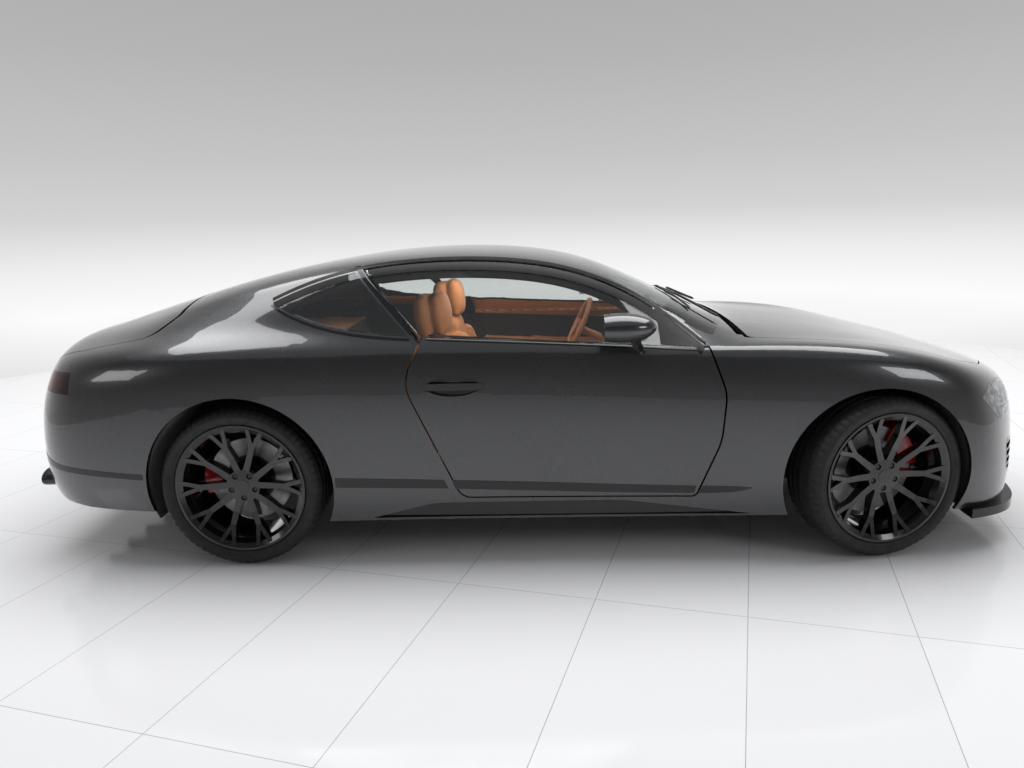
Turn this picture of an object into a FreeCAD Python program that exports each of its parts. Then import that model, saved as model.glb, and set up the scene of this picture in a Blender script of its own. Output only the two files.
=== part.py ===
import FreeCAD, Part
import math
import os

from FreeCAD import Vector

os.makedirs("parts", exist_ok=True)

# Two-door fastback coupe, in millimetres.
# +X is forwards, +Y is the car's left, +Z is up, and z = 0 is the ground.
# The origin lies under the middle of the car's bounding box.

# Wheels and tyres
front_axle_x = 1545.0
rear_axle_x = -1306.0
tyre_radius = 370.0
hub_z = tyre_radius
front_wheel_y = 828.0
rear_wheel_y = 812.0
front_tyre_width = 275.0
rear_tyre_width = 315.0
rim_flange_radius = 296.0
rim_flange_rise = 22.0
rim_flange_inset = 14.0
rim_flange_width = 6.0
rim_well_radius = 262.0
rim_wall = 9.0
rim_lip = 10.0
tyre_bead_gap = 0.4
tyre_bead_width = 16.0
tyre_wall = 14.0
tyre_shoulder = 38.0
spoke_pairs = 5
spoke_depth = 34.0
spoke_width = 25.0
spoke_tip_width = 19.0
spoke_pair_angle = 13.0
spoke_fork_radius = 196.0
spoke_fork_spread = 13.0
spoke_recess = 16.0
hub_radius = 76.0
hub_depth = 60.0
cap_radius = 33.0
cap_height = 5.0
bolt_circle_radius = 56.0
bolt_hole_radius = 13.0

# Brakes, hubs and steering
front_disc_radius = 205.0
rear_disc_radius = 195.0
disc_thickness = 36.0
disc_hat_radius = 92.0
disc_hat_wall = 9.0
disc_offset = 52.0
caliper_gap = 4.0
caliper_depth = 62.0
caliper_wall = 17.0
front_caliper_angle = 34.0
front_caliper_span = 58.0
rear_caliper_angle = 176.0
rear_caliper_span = 44.0
stub_radius = 34.0
stub_clearance = 0.4
kingpin_offset = 92.0
kingpin_radius = 11.0
pin_clearance = 0.3
upright_thickness = 34.0
column_half = 128.0
kingpin_depth = 34.0
kingpin_end_gap = 4.0
arm_gap = 8.0
arm_height = 24.0
arm_width = 30.0
stub_reach = 26.0
rest_steer_deg = 12.0

# Body shell walls and gaps
bottom_z = 200.0
glass_thickness = 6.0
glazing_foot_z = 560.0
panel_wall = 26.0
door_wall = 104.0
cowl_floor_z = 860.0
pillar_wall = 46.0
roof_wall = 32.0
shut_gap = 5.5
door_gap = 6.5
front_door_gap = 8.0
arch_radius_front = 414.0
arch_radius_rear = 428.0
arch_centre_z = 370.0
liner_radius_front = 446.0
liner_radius_rear = 440.0
liner_wall = 5.0

# Hinges
door_hinge_x = 782.0
door_hinge_y = 940.0
door_hinge_levels = (605.0, 745.0)
hinge_pin_radius = 5.0
hinge_sleeve_radius = 9.0
hinge_height = 60.0
hinge_plate = 8.0
hinge_reach_y = 852.0
hinge_reach_width = 18.0
hinge_bay_reach = 48.0
bonnet_hinge_x = 1022.0
bonnet_hinge_z = 962.0
boot_hinge_x = -1652.0
boot_hinge_z = 1180.0
boot_hinge_y = 150.0
boot_front_gap = 22.0
boot_pin_radius = 3.0
boot_ring_radius = 6.0
bonnet_hinge_y = 560.0
lid_plate = 6.0
lid_play = 1.0

# Body surface, as the control points of one side.
# Each ring runs from the middle of the nose round the side to the middle of the tail:
# distance forward, half width, height.
ring_bottom = [
    (2335, 0, 200), (2335, 285, 200), (2305, 515, 200), (2240, 705, 200), (2125, 830, 200), (1950, 880, 200),
    (1700, 915, 200), (1390, 925, 200), (1080, 925, 200), (760, 918, 200), (400, 915, 200), (0, 915, 200),
    (-400, 918, 200), (-760, 925, 200), (-1050, 935, 200), (-1350, 942, 200), (-1700, 925, 200),
    (-1995, 872, 200), (-2225, 765, 200), (-2320, 565, 200), (-2355, 280, 200), (-2355, 0, 200)]
ring_low = [
    (2385, 0, 300), (2385, 290, 300), (2340, 530, 300), (2245, 730, 300), (2110, 860, 300), (1960, 925, 300),
    (1700, 952, 300), (1390, 958, 300), (1080, 950, 300), (760, 940, 300), (400, 935, 300), (0, 935, 300),
    (-400, 940, 300), (-760, 950, 300), (-1050, 962, 300), (-1350, 970, 300), (-1700, 955, 300),
    (-2040, 905, 300), (-2285, 795, 300), (-2390, 585, 300), (-2420, 290, 300), (-2420, 0, 300)]
ring_middle = [
    (2425, 0, 450), (2425, 290, 450), (2350, 535, 450), (2215, 745, 450), (2085, 875, 450), (1955, 945, 450),
    (1700, 972, 450), (1390, 978, 450), (1080, 962, 450), (760, 948, 450), (400, 940, 450), (0, 940, 450),
    (-400, 948, 450), (-760, 962, 450), (-1050, 976, 450), (-1350, 987, 450), (-1700, 972, 450),
    (-2045, 918, 450), (-2300, 808, 450), (-2408, 592, 450), (-2432, 290, 450), (-2432, 0, 450)]
ring_widest = [
    (2415, 0, 600), (2415, 290, 600), (2335, 535, 605), (2192, 740, 615), (2060, 870, 635), (1930, 944, 655),
    (1690, 978, 690), (1390, 985, 700), (1080, 972, 700), (760, 958, 700), (400, 952, 700), (0, 953, 700),
    (-400, 962, 710), (-760, 978, 730), (-1050, 990, 745), (-1350, 998, 745), (-1700, 982, 730),
    (-2040, 920, 705), (-2278, 812, 690), (-2395, 592, 690), (-2430, 290, 690), (-2430, 0, 690)]
ring_upper = [
    (2380, 0, 705), (2380, 285, 705), (2300, 525, 712), (2165, 715, 735), (2020, 855, 765), (1890, 930, 795),
    (1670, 962, 830), (1390, 972, 845), (1080, 960, 850), (760, 945, 855), (400, 942, 862), (0, 945, 870),
    (-400, 955, 880), (-760, 970, 890), (-1050, 985, 900), (-1350, 990, 900), (-1700, 968, 885),
    (-2020, 900, 860), (-2240, 792, 835), (-2345, 578, 830), (-2390, 285, 835), (-2390, 0, 835)]
ring_crest = [
    (2310, 0, 762), (2310, 275, 762), (2235, 500, 775), (2105, 680, 800), (1970, 808, 838), (1825, 885, 880),
    (1620, 918, 925), (1370, 925, 952), (1080, 915, 962), (760, 908, 955), (400, 912, 965), (0, 918, 975),
    (-400, 928, 985), (-760, 938, 990), (-1050, 952, 1000), (-1350, 945, 1012), (-1700, 905, 1000),
    (-1985, 840, 975), (-2190, 735, 945), (-2320, 545, 940), (-2372, 270, 940), (-2375, 0, 940)]
ring_belt = [
    (2225, 0, 796), (2225, 250, 796), (2165, 455, 808), (2045, 615, 833), (1895, 730, 872), (1740, 800, 910),
    (1560, 835, 944), (1340, 848, 966), (1080, 855, 975), (775, 872, 966), (400, 876, 990), (0, 878, 1010),
    (-400, 878, 1028), (-760, 872, 1045), (-1050, 850, 1065), (-1350, 810, 1062), (-1680, 770, 1035),
    (-1930, 715, 1005), (-2115, 620, 993), (-2255, 455, 998), (-2318, 230, 1004), (-2322, 0, 1004)]
ring_glass = [
    (2130, 0, 828), (2130, 225, 828), (2075, 400, 838), (1960, 530, 862), (1820, 630, 896), (1675, 695, 925),
    (1510, 735, 948), (1310, 755, 966), (1080, 775, 978), (835, 800, 980), (420, 812, 1085), (30, 815, 1130),
    (-390, 815, 1160), (-740, 812, 1170), (-1040, 795, 1165), (-1330, 745, 1130), (-1650, 690, 1085),
    (-1880, 620, 1045), (-2030, 530, 1030), (-2120, 390, 1033), (-2185, 200, 1036), (-2185, 0, 1036)]
ring_rail = [
    (2040, 0, 852), (2040, 195, 852), (1990, 340, 860), (1880, 440, 884), (1755, 520, 910), (1620, 580, 932),
    (1465, 620, 950), (1290, 650, 966), (1085, 675, 980), (880, 700, 992), (470, 738, 1150), (150, 705, 1285),
    (-300, 712, 1318), (-640, 716, 1310), (-960, 715, 1265), (-1290, 675, 1195), (-1600, 615, 1135),
    (-1810, 545, 1085), (-1950, 455, 1065), (-2030, 330, 1062), (-2095, 170, 1062), (-2095, 0, 1062)]
ring_roof_edge = [
    (1960, 0, 870), (1960, 150, 870), (1915, 265, 878), (1820, 330, 898), (1710, 390, 918), (1585, 440, 937),
    (1440, 480, 955), (1270, 520, 970), (1090, 555, 986), (915, 580, 1002), (545, 658, 1206), (200, 636, 1334),
    (-250, 638, 1380), (-620, 640, 1374), (-950, 636, 1337), (-1280, 604, 1264), (-1570, 538, 1184),
    (-1760, 455, 1125), (-1885, 370, 1095), (-1950, 270, 1090), (-2020, 140, 1087), (-2020, 0, 1087)]
ring_spine = [
    (1860, 0, 888), (1860, 85, 888), (1825, 150, 896), (1770, 190, 906), (1680, 220, 922), (1560, 250, 940),
    (1420, 270, 958), (1255, 280, 976), (1095, 290, 994), (965, 300, 1016), (622, 330, 1180), (290, 320, 1334),
    (-110, 330, 1390), (-520, 340, 1392), (-910, 340, 1358), (-1255, 330, 1296), (-1540, 310, 1225),
    (-1710, 280, 1176), (-1815, 230, 1148), (-1880, 170, 1128), (-1955, 90, 1106), (-1955, 0, 1106)]
rings = [ring_bottom, ring_low, ring_middle, ring_widest, ring_upper, ring_crest, ring_belt, ring_glass,
         ring_rail, ring_roof_edge, ring_spine]
spine_setback = 38.0

# Outlines on the body: two coordinates and a corner radius
door_outline = [(795, 962, 0), (862, 770, 190), (846, 560, 300), (742, 303, 26), (-300, 312, 64), (-538, 842, 165),
                (-455, 1033, 0)]
window_top = [(780, 963), (600, 1115), (320, 1272), (-60, 1345), (-580, 1352), (-930, 1290), (-1152, 1186)]
window_foot = [(-1152, 1186), (-925, 1062), (-455, 1033), (200, 1000), (780, 963)]
pillar_foot_x = -462.0
pillar_foot_z = 1033.0
pillar_top_x = -745.0
pillar_top_z = 1330.0
pillar_strip = 46.0
bonnet_outline = [(2285, 0, 0), (2262, 330, 400), (2135, 560, 160), (1940, 732, 120), (1006, 735, 30), (1016, 0, 0)]
windscreen_outline = [(968, 0, 0), (955, 420, 300), (838, 770, 22), (352, 590, 34), (296, 350, 300), (290, 0, 0)]
rear_window_outline = [(-985, 0, 0), (-1000, 330, 300), (-1075, 520, 60), (-1560, 470, 70), (-1632, 250, 300),
                       (-1641, 0, 0)]
boot_outline = [(-1662, 0, 0), (-1662, 590, 60), (-1760, 735, 90), (-2080, 700, 120), (-2400, 560, 30), (-2480, 0, 0)]
boot_foot_z = 905.0
roof_outline = [(290, 0, 0), (296, 350, 300), (352, 590, 34), (200, 612, 200), (-300, 606, 900), (-800, 604, 900),
                (-1075, 560, 20), (-1075, 520, 0), (-1000, 330, 300), (-985, 0, 0)]
headlamp_outline = [(1985, 715, 12), (2090, 772, 60), (2225, 742, 40), (2298, 690, 30), (2290, 622, 30),
                    (2110, 600, 40)]
projector_places = [(2110, 682), (2185, 672), (2255, 655)]
projector_radius = 30.0
projector_depth = 46.0
tail_groove_levels = [832.0, 856.0]
tail_groove_height = 8.0
tail_lamp_outline = [(430, 812, 20), (800, 800, 0), (1000, 800, 0), (1000, 905, 0), (760, 892, 30), (430, 870, 20)]
tail_lamp_front_x = -2085.0
bumper_seam = [(1620, 690, 0), (1790, 705, 0), (1975, 714, 0), (2085, 722, 0), (2105, 900, 0)]
rear_seam = [(-1480, 700, 0), (-1640, 745, 60), (-2085, 800, 0)]
rear_foot = [(-1600, 258), (-2060, 261), (-2205, 272), (-2300, 302), (-2500, 345)]
grille_outline = [(0, 655, 0), (400, 648, 90), (545, 500, 90), (455, 310, 70), (0, 300, 0)]
intake_outline = [(600, 470, 30), (775, 500, 40), (775, 330, 40), (560, 330, 40)]
sill_scoop_outline = [(-720, 212, 0), (-430, 284, 350), (420, 285, 700), (1000, 210, 0)]
sill_scoop_y = 905.0
sill_blade_thickness = 4.0
handle_outline = [(-455, 809, 10), (-455, 839, 12), (-190, 837, 12), (-190, 807, 10)]
handle_thickness = 12.0
handle_clearance = 1.5
handle_cup_x = -322.0
handle_cup_z = 824.0
handle_cup_length = 236.0
handle_cup_height = 86.0
handle_cup_y = 934.0


def rounded(points, place):
    """Edges of an outline, with each corner rounded by its radius."""
    count = len(points)
    corners = []
    for index, (a, b, radius) in enumerate(points):
        here = Vector(a, b, 0)
        if radius == 0:
            corners.append((here, None, here))
            continue
        before = Vector(points[index - 1][0], points[index - 1][1], 0) - here
        after = Vector(points[(index + 1) % count][0], points[(index + 1) % count][1], 0) - here
        before.normalize()
        after.normalize()
        half = before.getAngle(after) / 2
        reach = radius / math.tan(half)
        middle = before + after
        middle.normalize()
        corners.append((here + before * reach, here + middle * (radius / math.sin(half) - radius),
                        here + after * reach))
    edges = []
    for index in range(count):
        start, middle, end = corners[index]
        if middle is not None:
            edges.append(Part.Arc(place(start), place(middle), place(end)).toShape())
        follow = corners[(index + 1) % count][0]
        if (follow - end).Length > 0.01:
            edges.append(Part.LineSegment(place(end), place(follow)).toShape())
    return edges


def side_place(y):
    return lambda point: Vector(point.x, y, point.y)


def top_place(z):
    return lambda point: Vector(point.x, point.y, z)


def front_place(x):
    return lambda point: Vector(x, point.x, point.y)


def closed_face(edges):
    return Part.Face(Part.Wire(edges))


def grow(face, gap):
    """The face with its outline moved outwards by the gap."""
    return face.makeOffset2D(gap, 2)


def side_prism(points, near=1200.0, far=300.0, gap=0.0):
    """Right-hand prism of a side-view outline, from y = -near to y = -far."""
    face = closed_face(rounded(points, side_place(-near)))
    if gap:
        face = grow(face, gap)
    return face.extrude(Vector(0, near - far, 0))


def mirrored_outline(points):
    """Right-hand outline given as distance and half width, closed along the centre line."""
    return [(a, -b, r) for a, b, r in points]


def mirrored_front(points):
    """Right-hand outline given as half width and height, seen from the front."""
    return [(-a, b, r) for a, b, r in points]


def top_prism(points, low, high, gap=0.0, overlap=1.0):
    """Right-hand prism of a top-view outline whose ends lie on the centre line."""
    wide = [(points[0][0], -overlap, 0)] + list(points) + [(points[-1][0], -overlap, 0)]
    face = closed_face(rounded(mirrored_outline(wide), top_place(low)))
    if gap:
        face = grow(face, gap)
    return face.extrude(Vector(0, 0, high - low))


def box(x0, x1, y0, y1, z0, z1):
    return Part.makeBox(x1 - x0, y1 - y0, z1 - z0, Vector(x0, y0, z0))


def mirror(shape):
    """The same piece on the other side of the car."""
    return shape.mirror(Vector(0, 0, 0), Vector(0, 1, 0))


def both(shape):
    """A right-hand piece joined to its mirror image across the centre line."""
    return shape.fuse(mirror(shape)).removeSplitter()


def solids_only(shape):
    solids = [solid for solid in shape.Solids if solid.Volume > 500]
    return solids[0] if len(solids) == 1 else Part.makeCompound(solids)


def pole_grid():
    """Rings of control points on the right side, with the spine added on the centre line."""
    grid = [[Vector(x, -w, z) for x, w, z in ring] for ring in rings]
    spine = [Vector(x, 0, z) for x, w, z in ring_spine]
    slope = 0.2
    for index in (0, 1):
        spine[index] = spine[index] + Vector(-spine_setback, 0, spine_setback * slope)
        spine[-1 - index] = spine[-1 - index] + Vector(spine_setback, 0, spine_setback * slope)
    grid.append(spine)
    return grid


def inset_grid(grid, depth):
    """The grid moved inwards along its own normals by depth(row, column)."""
    rows = len(grid)
    columns = len(grid[0])
    moved = []
    for row in range(rows):
        line = []
        for column in range(columns):
            up = grid[min(row + 1, rows - 1)][column] - grid[max(row - 1, 0)][column]
            along = grid[row][min(column + 1, columns - 1)] - grid[row][max(column - 1, 0)]
            normal = along.cross(up)
            if abs(grid[row][column].y) < 0.01:
                tangent = up if column in (0, columns - 1) else along
                normal = Vector(-tangent.z, 0, tangent.x)
            if row == 0:
                normal.z = 0
            normal.normalize()
            outward = grid[row][column] - Vector(min(max(grid[row][column].x, -1500), 1500), 0, 560)
            if normal.dot(outward) < 0:
                normal = normal * -1
            line.append(grid[row][column] - normal * depth(row, column))
        moved.append(line)
    if depth(0, 0):
        for point in moved[0]:
            point.z = bottom_z - 20
    return moved


def spline_face(grid):
    """Smooth cubic surface over a grid of control points."""
    def knots(count):
        inner = count - 4
        return [4] + [1] * inner + [4], [float(step) for step in range(inner + 2)]
    u_mults, u_knots = knots(len(grid))
    v_mults, v_knots = knots(len(grid[0]))
    surface = Part.BSplineSurface()
    surface.buildFromPolesMultsKnots(grid, u_mults, v_mults, u_knots, v_knots, False, False, 3, 3)
    return surface.toShape()


def body_solid(depth):
    """Closed body form, both sides, moved inwards by depth(row, column)."""
    face = spline_face(inset_grid(pole_grid(), depth))
    other = mirror(face)
    rim = [edge for edge in face.Edges
           if all(abs(vertex.Point.z - edge.Vertexes[0].Point.z) < 0.01 for vertex in edge.Vertexes)
           and abs(edge.CenterOfMass.y) > 100]
    foot = closed_face(rim + [mirror(edge) for edge in rim])
    shell = Part.Shell([face, other, foot])
    shell.sewShape()
    solid = Part.Solid(shell)
    if solid.Volume < 0:
        solid.reverse()
    return solid


def uniform(depth):
    return lambda row, column: depth


def deep(row, column):
    """Inner face of the doors, sills and pillars: thick beside the cabin, thin elsewhere."""
    if row <= 6 and 8 <= column <= 13:
        return door_wall
    if row >= 7 and column >= 8:
        return pillar_wall
    return panel_wall


outer = body_solid(uniform(0))
under_glass = body_solid(uniform(glass_thickness))
under_panel = body_solid(uniform(panel_wall))
under_deep = body_solid(deep)
right_half = box(-2600, 2600, -1200, 0, 0, 1500)
skin = outer.cut(under_panel).common(right_half)
glass_skin = outer.common(box(-2600, 2600, -1200, 0, glazing_foot_z, 1500)).cut(under_glass)
deep_skin = outer.cut(under_deep).common(right_half)


def arch_cut(x, radius, near=1200.0, far=600.0):
    return Part.makeCylinder(radius, near - far, Vector(x, -near, arch_centre_z), Vector(0, 1, 0))


def spline_wire(poles, y):
    curve = Part.BSplineCurve()
    count = len(poles)
    curve.buildFromPolesMultsKnots([Vector(a, y, b) for a, b in poles], [4] + [1] * (count - 4) + [4],
                                   [float(step) for step in range(count - 2)], False, 3)
    return curve.toShape()


def window_prism(gap):
    """Side window opening as a right-hand prism, its outline moved outwards by the gap."""
    loop = window_top + window_foot[1:-1]
    moved = []
    for index, (x, z) in enumerate(loop):
        before = Vector(*loop[index - 1], 0) - Vector(x, z, 0)
        after = Vector(*loop[(index + 1) % len(loop)], 0) - Vector(x, z, 0)
        normal = (after.normalize() - before.normalize()).cross(Vector(0, 0, 1)).normalize()
        stretch = gap / abs(normal.cross(after).z)
        moved.append((x + normal.x * min(stretch, 2 * gap), z + normal.y * min(stretch, 2 * gap)))
    top_count = len(window_top)
    foot = [moved[top_count - 1]] + moved[top_count:] + [moved[0]]
    face = closed_face([spline_wire(moved[:top_count], -1200), spline_wire(foot, -1200)])
    return face.extrude(Vector(0, 850, 0))


# Side window opening, split by a slanting pillar strip
opening_prism = window_prism(0)
opening_grown = window_prism(door_gap)


def strip_line(shift):
    """Side-view region behind the slanting pillar line moved forward by the shift."""
    lean = (pillar_top_x - pillar_foot_x) / (pillar_top_z - pillar_foot_z)
    points = [(pillar_foot_x + shift + lean * (930 - pillar_foot_z), 930, 0), (pillar_top_x + shift, pillar_top_z, 0),
              (pillar_top_x + shift, 1500, 0), (-1400, 1500, 0), (-1400, 930, 0)]
    return side_prism(points)


door_glass_zone = opening_prism.cut(strip_line(0))
door_glass_grown = opening_grown.cut(strip_line(-door_gap))
quarter_zone = opening_prism.common(strip_line(-door_gap - pillar_strip))
door_prism = side_prism(door_outline)
door_grown_face = grow(closed_face(rounded(door_outline, side_place(-1200))), door_gap)
door_grown = door_grown_face.extrude(Vector(0, 900, 0)).fuse(
    door_grown_face.extrude(Vector(0, 900, 0)).translated(Vector(front_door_gap - door_gap, 0, 0)).common(
        box(600, 1000, -1200, -300, 200, 1100)))

boot_zone = top_prism(boot_outline, boot_foot_z, 1400)
boot_grown = top_prism(boot_outline, boot_foot_z - shut_gap, 1400, shut_gap).fuse(
    top_prism(boot_outline, boot_foot_z, 1400).translated(Vector(boot_front_gap, 0, 0)))
bonnet_zone = top_prism(bonnet_outline, 700, 1100)
bonnet_grown = top_prism(bonnet_outline, 700, 1100, shut_gap)
bonnet_well = bonnet_grown.fuse([box(960, 1016, -700, 0, 880, 1100), box(986, 1026, -745, -690, 900, 1100)])
windscreen_zone = top_prism(windscreen_outline, 960, 1450)
rear_window_zone = top_prism(rear_window_outline, 1060, 1450)
roof_zone = top_prism(roof_outline, 1060, 1450)
headlamp_zone = side_prism(headlamp_outline, 1200, 480)
tail_lamp_zone = closed_face(rounded(mirrored_front(tail_lamp_outline), front_place(-2600))).extrude(
    Vector(2600 + tail_lamp_front_x, 0, 0))
intake_back_x = 2090.0
grille_points = [(grille_outline[0][0] - 1, grille_outline[0][1], 0)] + grille_outline[1:-1] + [
    (grille_outline[-1][0] - 1, grille_outline[-1][1], 0)]
grille_zone = closed_face(rounded(mirrored_front(grille_points), front_place(2150))).extrude(Vector(400, 0, 0))
intake_face = closed_face(rounded(mirrored_front(intake_outline), front_place(intake_back_x)))
intake_zone = intake_face.extrude(Vector(400, 0, 0))
arch_front = arch_cut(front_axle_x - 8, arch_radius_front)
arch_rear = arch_cut(rear_axle_x, arch_radius_rear)

# Front and rear clips of the body side
front_bumper_zone = side_prism([(1500, 100, 0), (1500, 690, 0)] + bumper_seam + [(2600, 900, 0), (2600, 100, 0)],
                               1200, -1)
wing_zone = side_prism([(700, 100, 0), (700, 1004, 0), (760, 1150, 0), (2600, 1150, 0), (2600, 100, 0)], 1200, -1)
rear_bumper_zone = side_prism([(-2700, 100, 0), (-1480, 100, 0)] + rear_seam + [(-2700, 800, 0)], 1200, -1)
openings = door_grown.fuse([door_glass_grown, boot_grown, bonnet_well, windscreen_zone, rear_window_zone,
                            quarter_zone, roof_zone, headlamp_zone, tail_lamp_zone, arch_front, arch_rear])
side_skin = skin.cut(openings)

sill_scoop = side_prism(sill_scoop_outline, 1200, sill_scoop_y)
under_tail = side_prism([(x, z, 0) for x, z in rear_foot] + [(-2700, 345, 0), (-2700, 100, 0), (-1600, 100, 0)],
                        1200, -1)
front_bumper_half = side_skin.common(front_bumper_zone).cut(grille_zone.fuse(intake_zone))
front_wing = side_skin.common(wing_zone).cut(front_bumper_zone).cut(sill_scoop)
rear_bumper_half = side_skin.common(rear_bumper_zone).cut(under_tail)
quarter_skin = side_skin.cut(wing_zone.fuse(rear_bumper_zone))


def panel(zone, shell=None):
    """Right-hand part of the body shell inside a zone."""
    return (skin if shell is None else shell).common(zone)


pieces = {}


def keep(name, shape):
    pieces[name] = solids_only(shape)


# Bonnet, boot lid, roof and glass
bonnet_half = panel(bonnet_zone)
boot_half = panel(boot_zone)
keep("roof_panel", both(panel(roof_zone)))
keep("windscreen", both(panel(windscreen_zone, glass_skin)))
keep("rear_window", both(panel(rear_window_zone, glass_skin)))
quarter_glass = panel(quarter_zone, glass_skin)
keep("quarter_windows", Part.makeCompound([quarter_glass, mirror(quarter_glass)]))
keep("front_wings", Part.makeCompound([front_wing, mirror(front_wing)]))
keep("front_bumper", both(front_bumper_half))
keep("rear_bumper", both(rear_bumper_half))

# Doors: the whole thickness behind the skin, stepped back round the edge and clear of the hinges
step = 22.0
hinge_bay_x = door_hinge_x - 20
door_face = closed_face(rounded(door_outline, side_place(-1200)))
inner_prism = grow(door_face, -step).extrude(Vector(0, 900, 0)).common(
    box(-700, hinge_bay_x, -1200, -300, 200, 1100))
belt_limit = box(-700, hinge_bay_x, -1200, -300, 200, 940)
door_shell = skin.common(door_prism).cut(arch_front)
door_inner = deep_skin.common(inner_prism).common(belt_limit)
door = door_shell.fuse(door_inner)
for level in door_hinge_levels:
    span = hinge_height / 2 + hinge_plate + 3
    bay = box(hinge_bay_x - 12, door_hinge_x + hinge_bay_reach, -door_hinge_y - 11, -800, level - span, level + span)
    sleeve = Part.makeCylinder(hinge_sleeve_radius, hinge_height, Vector(door_hinge_x, -door_hinge_y,
                                                                         level - hinge_height / 2))
    web = box(hinge_bay_x - 20, door_hinge_x, -door_hinge_y - 5, -door_hinge_y + 9, level - hinge_height / 2,
              level + hinge_height / 2)
    bore = Part.makeCylinder(hinge_pin_radius + pin_clearance, hinge_height + 4,
                             Vector(door_hinge_x, -door_hinge_y, level - hinge_height / 2 - 2))
    door = door.cut(bay).fuse(sleeve).fuse(web).cut(bore)

# Door handle: a bar let into the skin across a dished hand space
under_handle = body_solid(uniform(handle_thickness))
handle_face = closed_face(rounded(handle_outline, side_place(-1200)))
handle = outer.cut(under_handle).common(handle_face.extrude(Vector(0, 900, 0)))
handle_seat = outer.cut(under_handle).common(grow(handle_face, handle_clearance).extrude(Vector(0, 900, 0)))
cup_ring = Part.Ellipse(Vector(handle_cup_x + handle_cup_length / 2, -1200, handle_cup_z),
                        Vector(handle_cup_x, -1200, handle_cup_z + handle_cup_height / 2),
                        Vector(handle_cup_x, -1200, handle_cup_z))
handle_cup = Part.Face(Part.Wire(cup_ring.toShape())).extrude(Vector(0, 1200 - handle_cup_y, 0))
door = door.cut(handle_cup).cut(handle_seat)
keep("handle_right", handle)
keep("handle_left", mirror(solids_only(handle)))
door_glass = panel(door_glass_zone, glass_skin)
keep("door_right", door)
keep("door_left", mirror(solids_only(door)))
keep("door_glass_right", door_glass)
keep("door_glass_left", mirror(door_glass))

# Body sides: quarter skin, pillars, sill and the frame round the door
post_zone = side_prism([(-690, 202, 0), (-690, 1000, 0), (-430, 1000, 0), (-260, 202, 0)])
door_post = deep_skin.common(post_zone).cut(door_grown)
sill_box = deep_skin.common(side_prism([(-880, 202, 0), (-880, 300, 0), (700, 300, 0), (700, 202, 0)]))
sill_box = sill_box.cut(door_grown)
a_post_x = 868.0
a_post = box(a_post_x, 940, -868, -790, 210, cowl_floor_z).fuse(box(600, 940, -868, -790, 210, 290))
a_post = a_post.common(under_panel).cut(arch_cut(front_axle_x, liner_radius_front + 6, 1200, 300))
hinge_arms = []
for level in door_hinge_levels:
    for side in (-1, 1):
        z = level + side * (hinge_height / 2 + hinge_plate / 2 + 1)
        low = z - hinge_plate / 2
        high = z + hinge_plate / 2
        inner_y = hinge_reach_width - hinge_reach_y
        plate = box(door_hinge_x - hinge_sleeve_radius, door_hinge_x + hinge_sleeve_radius, -door_hinge_y, inner_y,
                    low, high)
        reach = box(door_hinge_x - hinge_sleeve_radius, a_post_x + 12, -hinge_reach_y, inner_y, low, high)
        tip = Part.makeCylinder(hinge_sleeve_radius, hinge_plate, Vector(door_hinge_x, -door_hinge_y, low))
        hinge_arms += [plate, reach, tip]
    pin = Part.makeCylinder(hinge_pin_radius, hinge_height + 2 * hinge_plate + 2,
                            Vector(door_hinge_x, -door_hinge_y, level - hinge_height / 2 - hinge_plate - 1))
    hinge_arms.append(pin)
body_side = quarter_skin.fuse([door_post, sill_box, a_post] + hinge_arms).cut(sill_scoop)
keep("body_side_right", body_side)
keep("body_side_left", mirror(solids_only(body_side)))


# Bonnet and boot lid with their hinge lugs, and the fixed brackets on both sides of each lug
lug_width = 26.0


def cross_cylinder(x, z, y, width, radius):
    return Part.makeCylinder(radius, width, Vector(x, y, z), Vector(0, 1, 0))


def lug(x, z, reach, y, width, radius):
    """Hinge lug round a cross-car pin, reaching to a point inside its panel."""
    arm_points = [Vector(x, y, z - radius), Vector(x, y, z + radius), Vector(reach[0], y, reach[1] + radius),
                  Vector(reach[0], y, reach[1] - radius)]
    arm = Part.Face(Part.makePolygon(arm_points + arm_points[:1])).extrude(Vector(0, width, 0))
    return cross_cylinder(x, z, y, width, radius).fuse(arm)


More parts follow.
